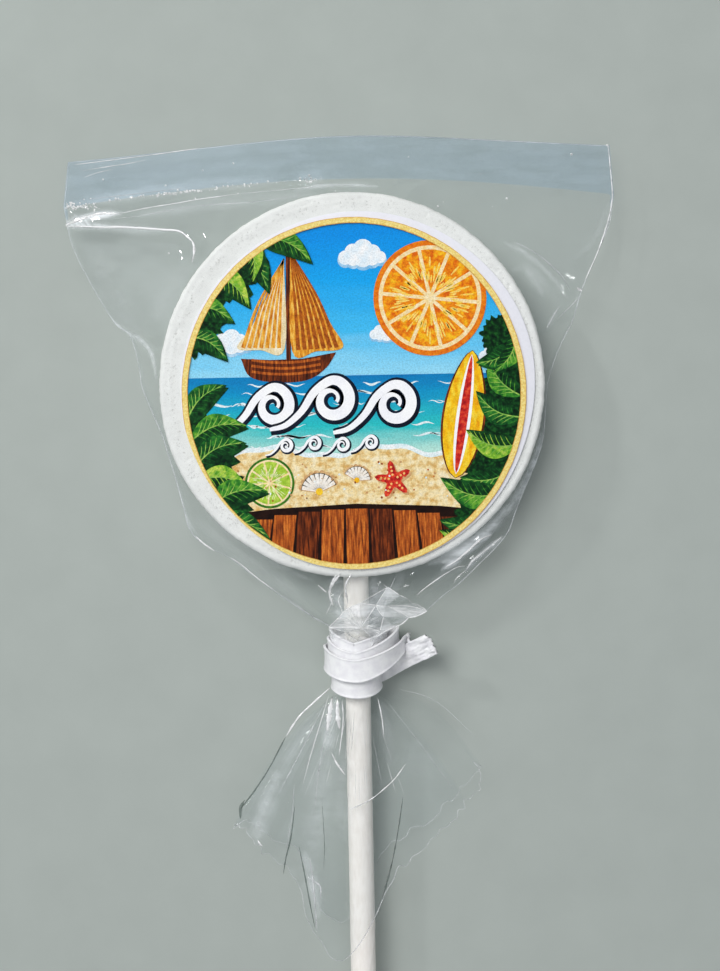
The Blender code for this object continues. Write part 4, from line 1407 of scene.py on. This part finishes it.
def buildSticker(values):
    paint, nodes, links, shader = solidMaterial("stickerPaper")
    tooth = noiseTexture(nodes, links, 0.5, detail=3)
    tone = screenColour(*values["marginColour"])
    shade = tuple(value * 0.96 for value in tone)
    base = colourSteps(nodes, links, tooth.outputs["Fac"], [(0.3, shade), (0.6, tone)])
    links.new(base, shader.inputs["Base Color"])
    shader.inputs["Roughness"].default_value = 0.34
    rays = 360
    turns = np.arange(rays) / rays * math.tau
    low, high = values["bottom"], values["bottom"] + values["thickness"]
    reach = cutRadius(turns) + 0.02 * valueNoise(turns * 30, 0 * turns, 4.0, 91)
    rows = []
    for inset, z in (
        (0, low), (0, high - 0.05), (0.02, high - 0.015), (0.07, high), (6, high), (14, high), (22, high),
    ):
        x, y = labelX + (reach - inset) * np.cos(turns), labelY + (reach - inset) * np.sin(turns)
        rows.append(np.stack((x, y, 0 * turns + z), -1))
    points = np.vstack((np.array(rows).reshape(-1, 3), (labelX, labelY, high), (labelX, labelY, low)))
    faces = gridFaces(len(rows), rays, wrap=True)
    faces += fanFaces(len(rows) * rays, (len(rows) - 1) * rays, rays)
    faces += fanFaces(len(rows) * rays + 1, 0, rays, flip=True)
    return onBody(meshPiece("stickerPaper", points, faces, [paint]), "label", "label")


buildSticker(stickerSettings)
print("sticker ready")


# the print: a made-up seaside picture of flat fields of colour, each a little over the one before


class PrintSheet:
    def __init__(self, values):
        self.points, self.faces, self.paintOf = [], [], []
        self.paints, self.names = [], {}
        self.layer = 0
        self.step = values["layerStep"]
        self.squeeze = values["printSqueeze"]
        self.base = values["bottom"] + values["thickness"] + 0.004
        self.shiftX = labelX + values["printShift"][0]
        self.shiftY = labelY + values["printShift"][1]
        self.limit = values["ringInner"] + 0.3
        turns = np.arange(96) / 96 * math.tau
        self.clipNormals = np.stack((np.cos(turns), np.sin(turns)), -1)

    def ink(self, paint):
        if paint.name not in self.names:
            self.names[paint.name] = len(self.paints)
            self.paints.append(paint)
        return self.names[paint.name]

    def clip(self, polygon):
        # cuts a shape at the picture's round edge
        if max(math.hypot(x, y) for x, y in polygon) <= self.limit:
            return polygon
        for nx, ny in self.clipNormals:
            kept = []
            for (ax, ay), (bx, by) in zip(polygon, polygon[1:] + polygon[:1]):
                a, b = ax * nx + ay * ny - self.limit, bx * nx + by * ny - self.limit
                if a <= 0:
                    kept.append((ax, ay))
                if (a < 0 < b) or (b < 0 < a):
                    share = a / (a - b)
                    kept.append((ax + share * (bx - ax), ay + share * (by - ay)))
            polygon = kept
            if len(polygon) < 3:
                return []
        return polygon

    def shape(self, polygon, paint, newLayer=True):
        if newLayer:
            self.layer += 1
        polygon = self.clip([(float(x), float(y)) for x, y in polygon])
        if len(polygon) < 3:
            return
        z = self.base + self.layer * self.step
        first = len(self.points)
        self.points += [(x * self.squeeze + self.shiftX, y + self.shiftY, z) for x, y in polygon]
        for triangle in tessellate_polygon([[Vector((x, y, 0)) for x, y in polygon]]):
            (ax, ay), (bx, by), (cx, cy) = [polygon[i] for i in triangle]
            area = (bx - ax) * (cy - ay) - (cx - ax) * (by - ay)
            if abs(area) < 1e-7:
                continue
            order = triangle if area > 0 else triangle[::-1]
            self.faces.append([first + i for i in order])
            self.paintOf.append(self.ink(paint))

    def stroke(self, path, widths, paint, newLayer=True):
        # a brush stroke of changing width, as a run of quads
        if newLayer:
            self.layer += 1
        path = np.asarray(path, float)[:, :2]
        widths = np.broadcast_to(np.asarray(widths, float), (len(path),))
        along = np.gradient(path, axis=0)
        along /= np.maximum(np.linalg.norm(along, axis=1), 1e-9)[:, None]
        across = np.column_stack((-along[:, 1], along[:, 0]))
        left, right = path + across * widths[:, None] / 2, path - across * widths[:, None] / 2
        for i in range(len(path) - 1):
            quad = [tuple(right[i]), tuple(right[i + 1]), tuple(left[i + 1]), tuple(left[i])]
            self.shape(quad, paint, newLayer=False)

    def disc(self, x, y, radius, paint, newLayer=True, sides=48):
        turns = np.arange(sides) / sides * math.tau
        self.shape(
            np.column_stack((x + radius * np.cos(turns), y + radius * np.sin(turns))), paint, newLayer,
        )

    def blob(self, x, y, radius, paint, seed, uneven=0.25):
        # a round mass with a leafy, uneven outline
        turns = np.arange(72) / 72 * math.tau
        reach = radius * (
            1 + uneven * valueNoise(turns * 6, 0 * turns, 1.0, seed) + 0.1 * np.cos(turns * 23)
        )
        self.shape(np.column_stack((x + reach * np.cos(turns), y + reach * np.sin(turns))), paint)

    def leaf(self, x, y, angle, length, width, paint, shadePaint, vein):
        # a pointed leaf: its shadow, its blade, one half in shade, a middle vein and side veins
        share = np.linspace(0, 1, 22)
        half = width / 2 * np.sin(np.pi * share**0.8) ** 0.9
        spine = np.column_stack((share * length, 0.14 * length * np.sin(np.pi * share)))
        turn = math.radians(angle)
        spin = np.array(((math.cos(turn), math.sin(turn)), (-math.sin(turn), math.cos(turn))))
        rise = np.column_stack((0 * half, half))
        upper, lower = (spine + rise) @ spin + (x, y), (spine - rise) @ spin + (x, y)
        middle = spine @ spin + (x, y)
        outline = np.vstack((upper, lower[::-1][1:-1]))
        self.shape(outline + (0.35, -0.45), shadePaint)
        self.shape(outline, paint)
        self.shape(np.vstack((middle, lower[::-1][1:-1])), shadePaint)
        self.layer += 1
        for i in range(3, 18, 2):
            for sign in (1, -1):
                end = spine[i + 3] + (0, sign * half[i + 3] * 0.82)
                line = np.array((spine[i], (spine[i] + end) / 2 + (0.01 * length, 0), end)) @ spin + (x, y)
                self.stroke(line, (0.16, 0.12, 0.04), paint if sign < 0 else vein, newLayer=False)
        self.stroke(middle[1:-2], 0.26 * (1 - 0.8 * share[1:-2]), vein)


def citrusWheel(sheet, inks, x, y, radius, segments, tilt, colours):
    rind, pith, flesh, deep = [inks[name] for name in colours]
    sheet.disc(x, y, radius, rind)
    sheet.disc(x, y, radius * 0.91, pith)
    sheet.layer += 1
    for index in range(segments):
        middle = math.radians(tilt) + index / segments * math.tau
        half = math.pi / segments * 0.88
        corner = []
        for turn in np.linspace(-half, half, 9):
            corner.append((radius * 0.84 * math.cos(middle + turn), radius * 0.84 * math.sin(middle + turn)))
        corner.append((radius * 0.10 * math.cos(middle), radius * 0.10 * math.sin(middle)))
        sheet.shape([(x + px, y + py) for px, py in corner], flesh, newLayer=False)
    sheet.layer += 1
    dice = random.Random(segments)
    for index in range(segments * 9):
        turn = math.radians(tilt) + (index / 9 + dice.uniform(-0.05, 0.05)) / segments * math.tau
        start = dice.uniform(0.22, 0.55)
        stop = start + dice.uniform(0.12, 0.26)
        reaches = [radius * share for share in (start, (start + stop) / 2, stop)]
        line = [(x + reach * math.cos(turn), y + reach * math.sin(turn)) for reach in reaches]
        sheet.stroke(line, np.array((0.01, 0.035, 0.02)) * radius, deep, newLayer=False)


def cloud(sheet, inks, x, y, size):
    puffs = (
        (-1.5, 0, 0.7), (-0.8, 0.45, 0.85), (0.1, 0.7, 1.0), (0.95, 0.4, 0.8),
        (1.6, 0, 0.6), (0.1, -0.05, 0.9), (-0.8, -0.1, 0.7), (0.9, -0.1, 0.7),
    )
    for paint, rise, share in (("cloudShade", -0.12, 1.0), ("cloudWhite", 0.08, 0.9)):
        for dx, dy, radius in puffs:
            sheet.disc(x + dx * size, y + (dy + rise) * size, radius * size * share, inks[paint], sides=32)


def waveScroll(sheet, inks, x, y, size):
    # a rolling wave drawn as a fat line that curls in on itself
    rise = [(-1.9, -0.75), (-1.3, -0.6), (-0.7, -0.1), (-0.25, 0.55), (0.3, 0.95)]
    curl = []
    for step in range(26):
        turn = math.radians(92 - step * 19)
        radius = 0.74 * (1 - step / 30) ** 0.8
        curl.append((0.42 + radius * math.cos(turn), 0.28 + radius * math.sin(turn)))
    path = smoothCurve([(x + px * size, y + py * size) for px, py in rise + curl[1:]], 4)
    share = np.linspace(0, 1, len(path))
    widths = size * (0.13 + 0.36 * np.sin(np.pi * np.clip(share * 1.25, 0, 1)) ** 0.8 * (1 - 0.6 * share))
    sheet.stroke(path + (0.12, -0.14, 0), widths + 0.24 * size, inks["navy"])
    sheet.stroke(path, widths, inks["plainWhite"])


def fanShell(sheet, inks, x, y, size, tilt):
    ribs = 9
    layers = (("shellShade", (0.10, 0.24, 0.34), 1.0, 0.16), ("shellLight", (0.05, 0.15, 0.23), 0.97, 0))
    for paint, widths, reach, knob in layers:
        for index in range(ribs):
            spread = math.radians(tilt + 90 + (index - (ribs - 1) / 2) * 17)
            tip = (x + size * reach * math.cos(spread), y + size * reach * math.sin(spread))
            line = [(x, y), ((x + tip[0]) / 2, (y + tip[1]) / 2), tip]
            sheet.stroke(line, np.array(widths) * size, inks[paint], newLayer=index == 0)
            if knob:
                sheet.disc(*tip, size * knob, inks[paint], newLayer=False, sides=16)
    sheet.disc(x, y, size * 0.2, inks["shellGold"], sides=20)


def starShape(x, y, size, tilt, arms=5, waist=0.42):
    points = []
    for index in range(arms * 8):
        turn = index / (arms * 8) * math.tau
        radius = size * (waist + (1 - waist) * (0.5 + 0.5 * math.cos(arms * turn)) ** 1.5)
        tilted = turn + math.radians(tilt)
        points.append((x + radius * math.cos(tilted), y + radius * math.sin(tilted)))
    return points


def sailBoat(sheet, inks, x, y, size):
    def placed(spots):
        return [(x + px * size, y + py * size) for px, py in spots]

    hull = smoothCurve(
        [(-1.25, 0.25), (-1.0, -0.25), (-0.3, -0.42), (0.6, -0.38), (1.15, -0.05), (1.45, 0.38)], 5,
    )[:, :2]
    sheet.shape(placed([*hull, (0.5, 0.22), (-0.4, 0.2), (-1.25, 0.25)]), inks["woodDark"])
    for level in (0.12, -0.04, -0.2):
        line = placed([(px, level + 0.1 * px * px) for px in np.linspace(-0.95, 1.0, 8)])
        sheet.stroke(line, 0.07 * size, inks["woodLight"], newLayer=level == 0.12)
    sheet.stroke(placed([(0.1, 0.2), (0.12, 1.8), (0.14, 3.3)]), 0.13 * size, inks["woodDark"])
    mainSail = [(0.2, 3.2), (0.75, 2.3), (1.3, 1.2), (1.65, 0.52), (0.9, 0.42), (0.2, 0.45)]
    jib = [(0.02, 3.0), (-0.45, 2.0), (-0.95, 1.1), (-1.35, 0.55), (-0.7, 0.48), (0.0, 0.52)]
    sails = ((mainSail, "sailGold", "sailOrange", 0.16), (jib, "sailCream", "sailGold", -0.16))
    for sail, base, stripe, bow in sails:
        sheet.shape(placed(smoothCurve(sail + [sail[0]], 6)[:-1, :2]), inks[base])
        for number in range(1, 8):
            share = number / 8
            top, low = np.array(sail[0]), np.array(sail[3]) * share + np.array(sail[5]) * (1 - share)
            middle = (top + low) / 2 + (bow * share, 0)
            line = smoothCurve([tuple(top), tuple(middle), tuple(low)], 6)[:, :2] * size + (x, y)
            widths = np.linspace(0.02, 0.12, len(line)) * size
            sheet.stroke(line, widths, inks[stripe], newLayer=number == 1)


def pictureInks():
    green = {"size": 0.9, "detail": 6}
    return {
        "sky": gradientInk(
            "skyInk", [(150, 222, 250), (66, 192, 246), (14, 168, 242), (0, 146, 234)], 2, 25,
        ),
        "sea": gradientInk(
            "seaInk", [(196, 238, 224), (40, 196, 200), (0, 150, 204), (0, 88, 176)], -12.0, 4.5,
        ),
        "sand": inkMaterial("sandInk", [(222, 176, 100), (246, 222, 164), (253, 238, 200)], 1.0),
        "foam": inkMaterial("foamInk", [(220, 242, 246), (252, 254, 254)], 1.0),
        "cloudWhite": inkMaterial("cloudWhiteInk", [(226, 242, 252), (254, 254, 254)], 1.6),
        "cloudShade": inkMaterial("cloudShadeInk", [(120, 188, 232), (190, 224, 246)], 1.4),
        "plainWhite": inkMaterial("plainWhiteInk", [(246, 246, 252), (254, 254, 254)], 3.0, grainy=0.35),
        "navy": inkMaterial("navyInk", [(8, 14, 28), (16, 30, 52)], 2.0),
        "gold": inkMaterial(
            "goldInk", [(236, 200, 104), (244, 220, 132), (252, 232, 156)], 0.35, grainy=0.8,
        ),
        "goldEdge": inkMaterial("goldEdgeInk", [(214, 160, 70), (232, 186, 96)], 0.35),
        "orangeRind": inkMaterial("orangeRindInk", [(224, 98, 4), (248, 146, 14)], 0.6),
        "pith": inkMaterial("pithInk", [(250, 216, 140), (255, 240, 200)], 0.6),
        "orangeFlesh": inkMaterial("orangeFleshInk", [(222, 96, 2), (246, 146, 8), (255, 196, 30)], 0.9),
        "orangeDeep": inkMaterial("orangeDeepInk", [(255, 206, 60), (255, 228, 130)], 0.5),
        "limeRind": inkMaterial("limeRindInk", [(30, 96, 18), (74, 140, 28)], 0.8),
        "limeFlesh": inkMaterial("limeFleshInk", [(136, 186, 28), (198, 224, 84)], 0.8),
        "limeDeep": inkMaterial("limeDeepInk", [(220, 236, 150), (240, 248, 196)], 0.5),
        "thicket": inkMaterial("thicketInk", [(2, 22, 12), (6, 48, 20), (26, 92, 32)], 0.7, detail=6),
        "leafShade": inkMaterial("leafShadeInk", [(2, 30, 14), (10, 60, 24), (24, 92, 34)], **green),
        "leafDark": inkMaterial("leafDarkInk", [(8, 58, 24), (22, 98, 36), (58, 140, 44)], **green),
        "leafMid": inkMaterial("leafMidInk", [(20, 88, 30), (56, 138, 40), (122, 184, 54)], **green),
        "leafLight": inkMaterial("leafLightInk", [(64, 140, 34), (132, 188, 48), (204, 220, 90)], **green),
        "vein": inkMaterial("veinInk", [(96, 168, 62), (176, 208, 96)], 0.8),
        "woodDark": inkMaterial(
            "woodDarkInk", [(40, 14, 6), (96, 38, 10), (150, 66, 18)], 0.8, (2.4, 0.22, 1),
        ),
        "woodLight": inkMaterial(
            "woodLightInk", [(104, 42, 10), (178, 84, 22), (224, 128, 44)], 0.8, (2.4, 0.22, 1),
        ),
        "plankGap": inkMaterial("plankGapInk", [(20, 8, 6), (40, 18, 10)], 1.0),
        "sailGold": inkMaterial(
            "sailGoldInk", [(196, 108, 16), (236, 160, 40), (252, 204, 96)], 0.7, (1.8, 0.4, 1),
        ),
        "sailOrange": inkMaterial("sailOrangeInk", [(140, 62, 10), (196, 104, 22)], 0.7),
        "sailCream": inkMaterial("sailCreamInk", [(232, 208, 152), (252, 240, 208)], 0.9, (1.8, 0.4, 1)),
        "shellLight": inkMaterial("shellLightInk", [(248, 236, 220), (255, 252, 246)], 0.8),
        "shellShade": inkMaterial("shellShadeInk", [(196, 140, 88), (228, 190, 136)], 0.8),
        "shellGold": inkMaterial("shellGoldInk", [(250, 176, 10), (255, 214, 50)], 0.8),
        "starRed": inkMaterial("starRedInk", [(160, 14, 20), (214, 38, 30), (240, 88, 46)], 0.7),
        "starSpot": inkMaterial("starSpotInk", [(250, 176, 92), (255, 206, 130)], 0.8),
        "boardYellow": inkMaterial(
            "boardYellowInk", [(240, 160, 0), (252, 198, 10), (255, 226, 70)], 1.1, (1.5, 0.5, 1),
        ),
    }


def surfBoard(sheet, inks, x, y, length, width, tilt):
    # a tall board stood in the sand, with a stripe down its middle
    turn = math.radians(tilt)
    spin = np.array(((math.cos(turn), math.sin(turn)), (-math.sin(turn), math.cos(turn))))
    share = np.linspace(0, 1, 30)
    half = width / 2 * np.sin(np.pi * share**0.9) ** 0.62
    for paint, size in (("woodDark", 1.0), ("boardYellow", 0.9), ("plainWhite", 0.34), ("starRed", 0.2)):
        edge = np.column_stack((half * size, (share - 0.5) * length * (0.9 + 0.1 * size)))
        outline = np.vstack((edge, edge[::-1][1:-1] * (-1, 1))) @ spin + (x, y)
        sheet.shape(outline, inks[paint])


def buildPicture(values):
    sheet, inks = PrintSheet(values), pictureInks()
    dice = random.Random(29)
    edge = 30
    sheet.shape([(-edge, 2.6), (edge, 2.6), (edge, edge), (-edge, edge)], inks["sky"])
    for x, y, size in ((1.8, 22.4, 1.9), (-20.8, 8.2, 1.7), (5.6, 9.6, 1.3), (24.5, 5.6, 1.5)):
        cloud(sheet, inks, x, y, size)
    sheet.shape([(-edge, -13), (edge, -13), (edge, 3.0), (-edge, 3.0)], inks["sea"])
    for level in (1.6, 0.2, -1.6, -3.3, -5.2, -7.0, -8.7):
        sheet.layer += 1
        for _ in range(10):
            start, length = dice.uniform(-27, 25), dice.uniform(2.0, 5.5)
            share = np.linspace(0, 1, 9)
            line = np.column_stack((start + share * length, level + 0.22 * np.sin(share * 7 + start)))
            sheet.stroke(
                line, dice.uniform(0.16, 0.44) * np.sin(np.pi * share), inks["foam"], newLayer=False,
            )
    shore = [
        (px, -9.9 + 0.8 * math.sin(px * 0.33) + 0.3 * math.sin(px * 0.9))
        for px in np.linspace(-edge, edge, 60)
    ]
    sheet.shape([(px, py + 0.8) for px, py in shore] + [(edge, -edge), (-edge, -edge)], inks["foam"])
    sheet.shape(shore + [(edge, -edge), (-edge, -edge)], inks["sand"])
    sailBoat(sheet, inks, -11.6, 4.6, 6.0)
    citrusWheel(sheet, inks, 13.2, 15.6, 9.6, 10, 12, ("orangeRind", "pith", "orangeFlesh", "orangeDeep"))
    bigWaves = ((-15.6, -3.0, 4.3), (-5.7, -2.3, 4.6), (4.9, -3.1, 4.5))
    smallWaves = ((-12.4, -8.9, 1.5), (-7.6, -8.6, 1.5), (-2.8, -8.9, 1.5), (2.0, -8.6, 1.5))
    for x, y, size in bigWaves + smallWaves:
        waveScroll(sheet, inks, x, y, size)
    # boards of a jetty across the foot of the picture
    jetty = [
        (-edge, -20.6), (-14, -18.9), (0, -18.3), (14, -18.9), (edge, -20.6), (edge, -edge),
        (-edge, -edge),
    ]
    sheet.shape(jetty, inks["plankGap"])
    for index in range(11):
        left = -22 + index * 4.05
        slant, top = 0.10 * (left + 2), -19.1 - 0.006 * (left + 2) ** 2
        board = [(left, top), (left + 3.75, top - 0.05), (left + 3.75 + slant, -edge), (left + slant, -edge)]
        sheet.shape(board, inks["woodLight" if index % 3 else "woodDark"], newLayer=index == 0)
    thickets = (
        (27, -3, 8.0), (25, -12, 7.5), (24, -21, 6.5), (-27, -9, 6.5), (-25, -17, 6.5),
        (-22, 22, 7.5), (-28, 12, 5.5), (26, 9, 4.0),
    )
    for number, (x, y, radius) in enumerate(thickets):
        sheet.blob(x, y, radius, inks["thicket"], 61 + number)
    surfBoard(sheet, inks, 18.6, -3.8, 21.5, 7.4, -9)
    fanShell(sheet, inks, -6.2, -16.2, 3.1, 8)
    fanShell(sheet, inks, 0.2, -14.4, 2.3, -14)
    sheet.shape([(px + 0.3, py - 0.35) for px, py in starShape(6.4, -14.4, 3.2, 100)], inks["shellShade"])
    sheet.shape(starShape(6.4, -14.4, 3.2, 100), inks["starRed"])
    sheet.layer += 1
    for arm in range(5):
        for share in (0.25, 0.45, 0.65):
            turn = math.radians(100) + arm / 5 * math.tau
            place = (6.4 + 3.2 * share * math.cos(turn), -14.4 + 3.2 * share * math.sin(turn))
            sheet.disc(*place, 0.2, inks["starSpot"], newLayer=False, sides=10)
    citrusWheel(sheet, inks, -14.6, -14.6, 4.2, 9, 5, ("limeRind", "pith", "limeFlesh", "limeDeep"))
    sheet.layer += 1
    for _ in range(70):
        x, y = dice.uniform(-20, 16), dice.uniform(-17.6, -11.4)
        paint = inks[dice.choice(("shellShade", "foam", "woodLight"))]
        sheet.disc(x, y, dice.uniform(0.08, 0.2), paint, newLayer=False, sides=8)
    leaves = (
        (-28.5, -4.0, 40, 9, 4.0, "leafDark"), (-28.0, -7.5, 14, 10, 4.2, "leafMid"),
        (-27.5, -12, 24, 10, 4.4, "leafDark"), (-27.0, -14, -10, 9, 4.0, "leafLight"),
        (-25.5, -19, 16, 11, 4.4, "leafMid"), (-24.5, -21, -16, 10, 3.8, "leafDark"),
        (28.5, -1.0, 128, 9, 4.0, "leafMid"), (28.5, -4.5, 150, 9, 4.2, "leafDark"),
        (28.0, -9.0, 164, 9.5, 4.4, "leafLight"), (27.5, -12.5, 190, 10, 4.2, "leafDark"),
        (25.5, -17.0, 166, 11.5, 4.6, "leafMid"), (24.5, -20.5, 184, 10.5, 4.0, "leafDark"),
        (22.0, -23.5, 176, 8, 3.4, "leafLight"), (27.5, 8.0, 206, 7.5, 3.4, "leafDark"),
        (27.8, 10.0, 240, 8, 3.4, "leafMid"), (-29.0, 14.5, -14, 9, 4.0, "leafMid"),
        (-27.5, 17.5, 8, 9.5, 4.2, "leafDark"), (-25.0, 20.5, -38, 9.5, 4.2, "leafLight"),
        (-20.5, 25.0, -52, 10, 4.2, "leafDark"), (-16.0, 26.0, -24, 10, 4.0, "leafMid"),
        (-28.5, 10.0, -30, 8, 3.6, "leafDark"), (-19.0, 27.5, -76, 9, 3.6, "leafLight"),
    )
    for x, y, angle, length, width, tone in leaves:
        sheet.leaf(x, y, angle, length, width, inks[tone], inks["leafShade"], inks["vein"])
    # gold ring round the picture, with a darker rim on both sides, cut off where the sticker ends
    turns = np.arange(361) / 360 * math.tau
    wide, narrow = values["ringOuter"], values["ringInner"]
    for paint, outer, inner in (("goldEdge", wide, narrow), ("gold", wide - 0.1, narrow + 0.12)):
        sheet.layer += 1
        z = sheet.base + sheet.layer * sheet.step
        first = len(sheet.points)
        for radius in (outer, inner):
            wobble = radius + 0.03 * valueNoise(np.cos(turns) * 20, np.sin(turns) * 20, 0.6, 95)
            x = wobble * np.cos(turns) * sheet.squeeze + values["printShift"][0]
            y = wobble * np.sin(turns) + values["printShift"][1]
            most = (cutRadius(np.arctan2(y, x)) - 0.08) / np.hypot(x, y)
            x, y = x * np.minimum(most, 1), y * np.minimum(most, 1)
            sheet.points += [(labelX + px, labelY + py, z) for px, py in zip(x, y)]
        for i in range(360):
            sheet.faces.append([first + i, first + i + 1, first + 361 + i + 1, first + 361 + i])
            sheet.paintOf.append(sheet.ink(inks[paint]))
    piece = meshPiece("stickerPrint", sheet.points, sheet.faces, sheet.paints, sheet.paintOf, smooth=False)
    print("print layers:", sheet.layer, "faces:", len(sheet.faces))
    return onBody(piece, "label")


buildPicture(stickerSettings)
print("print ready")
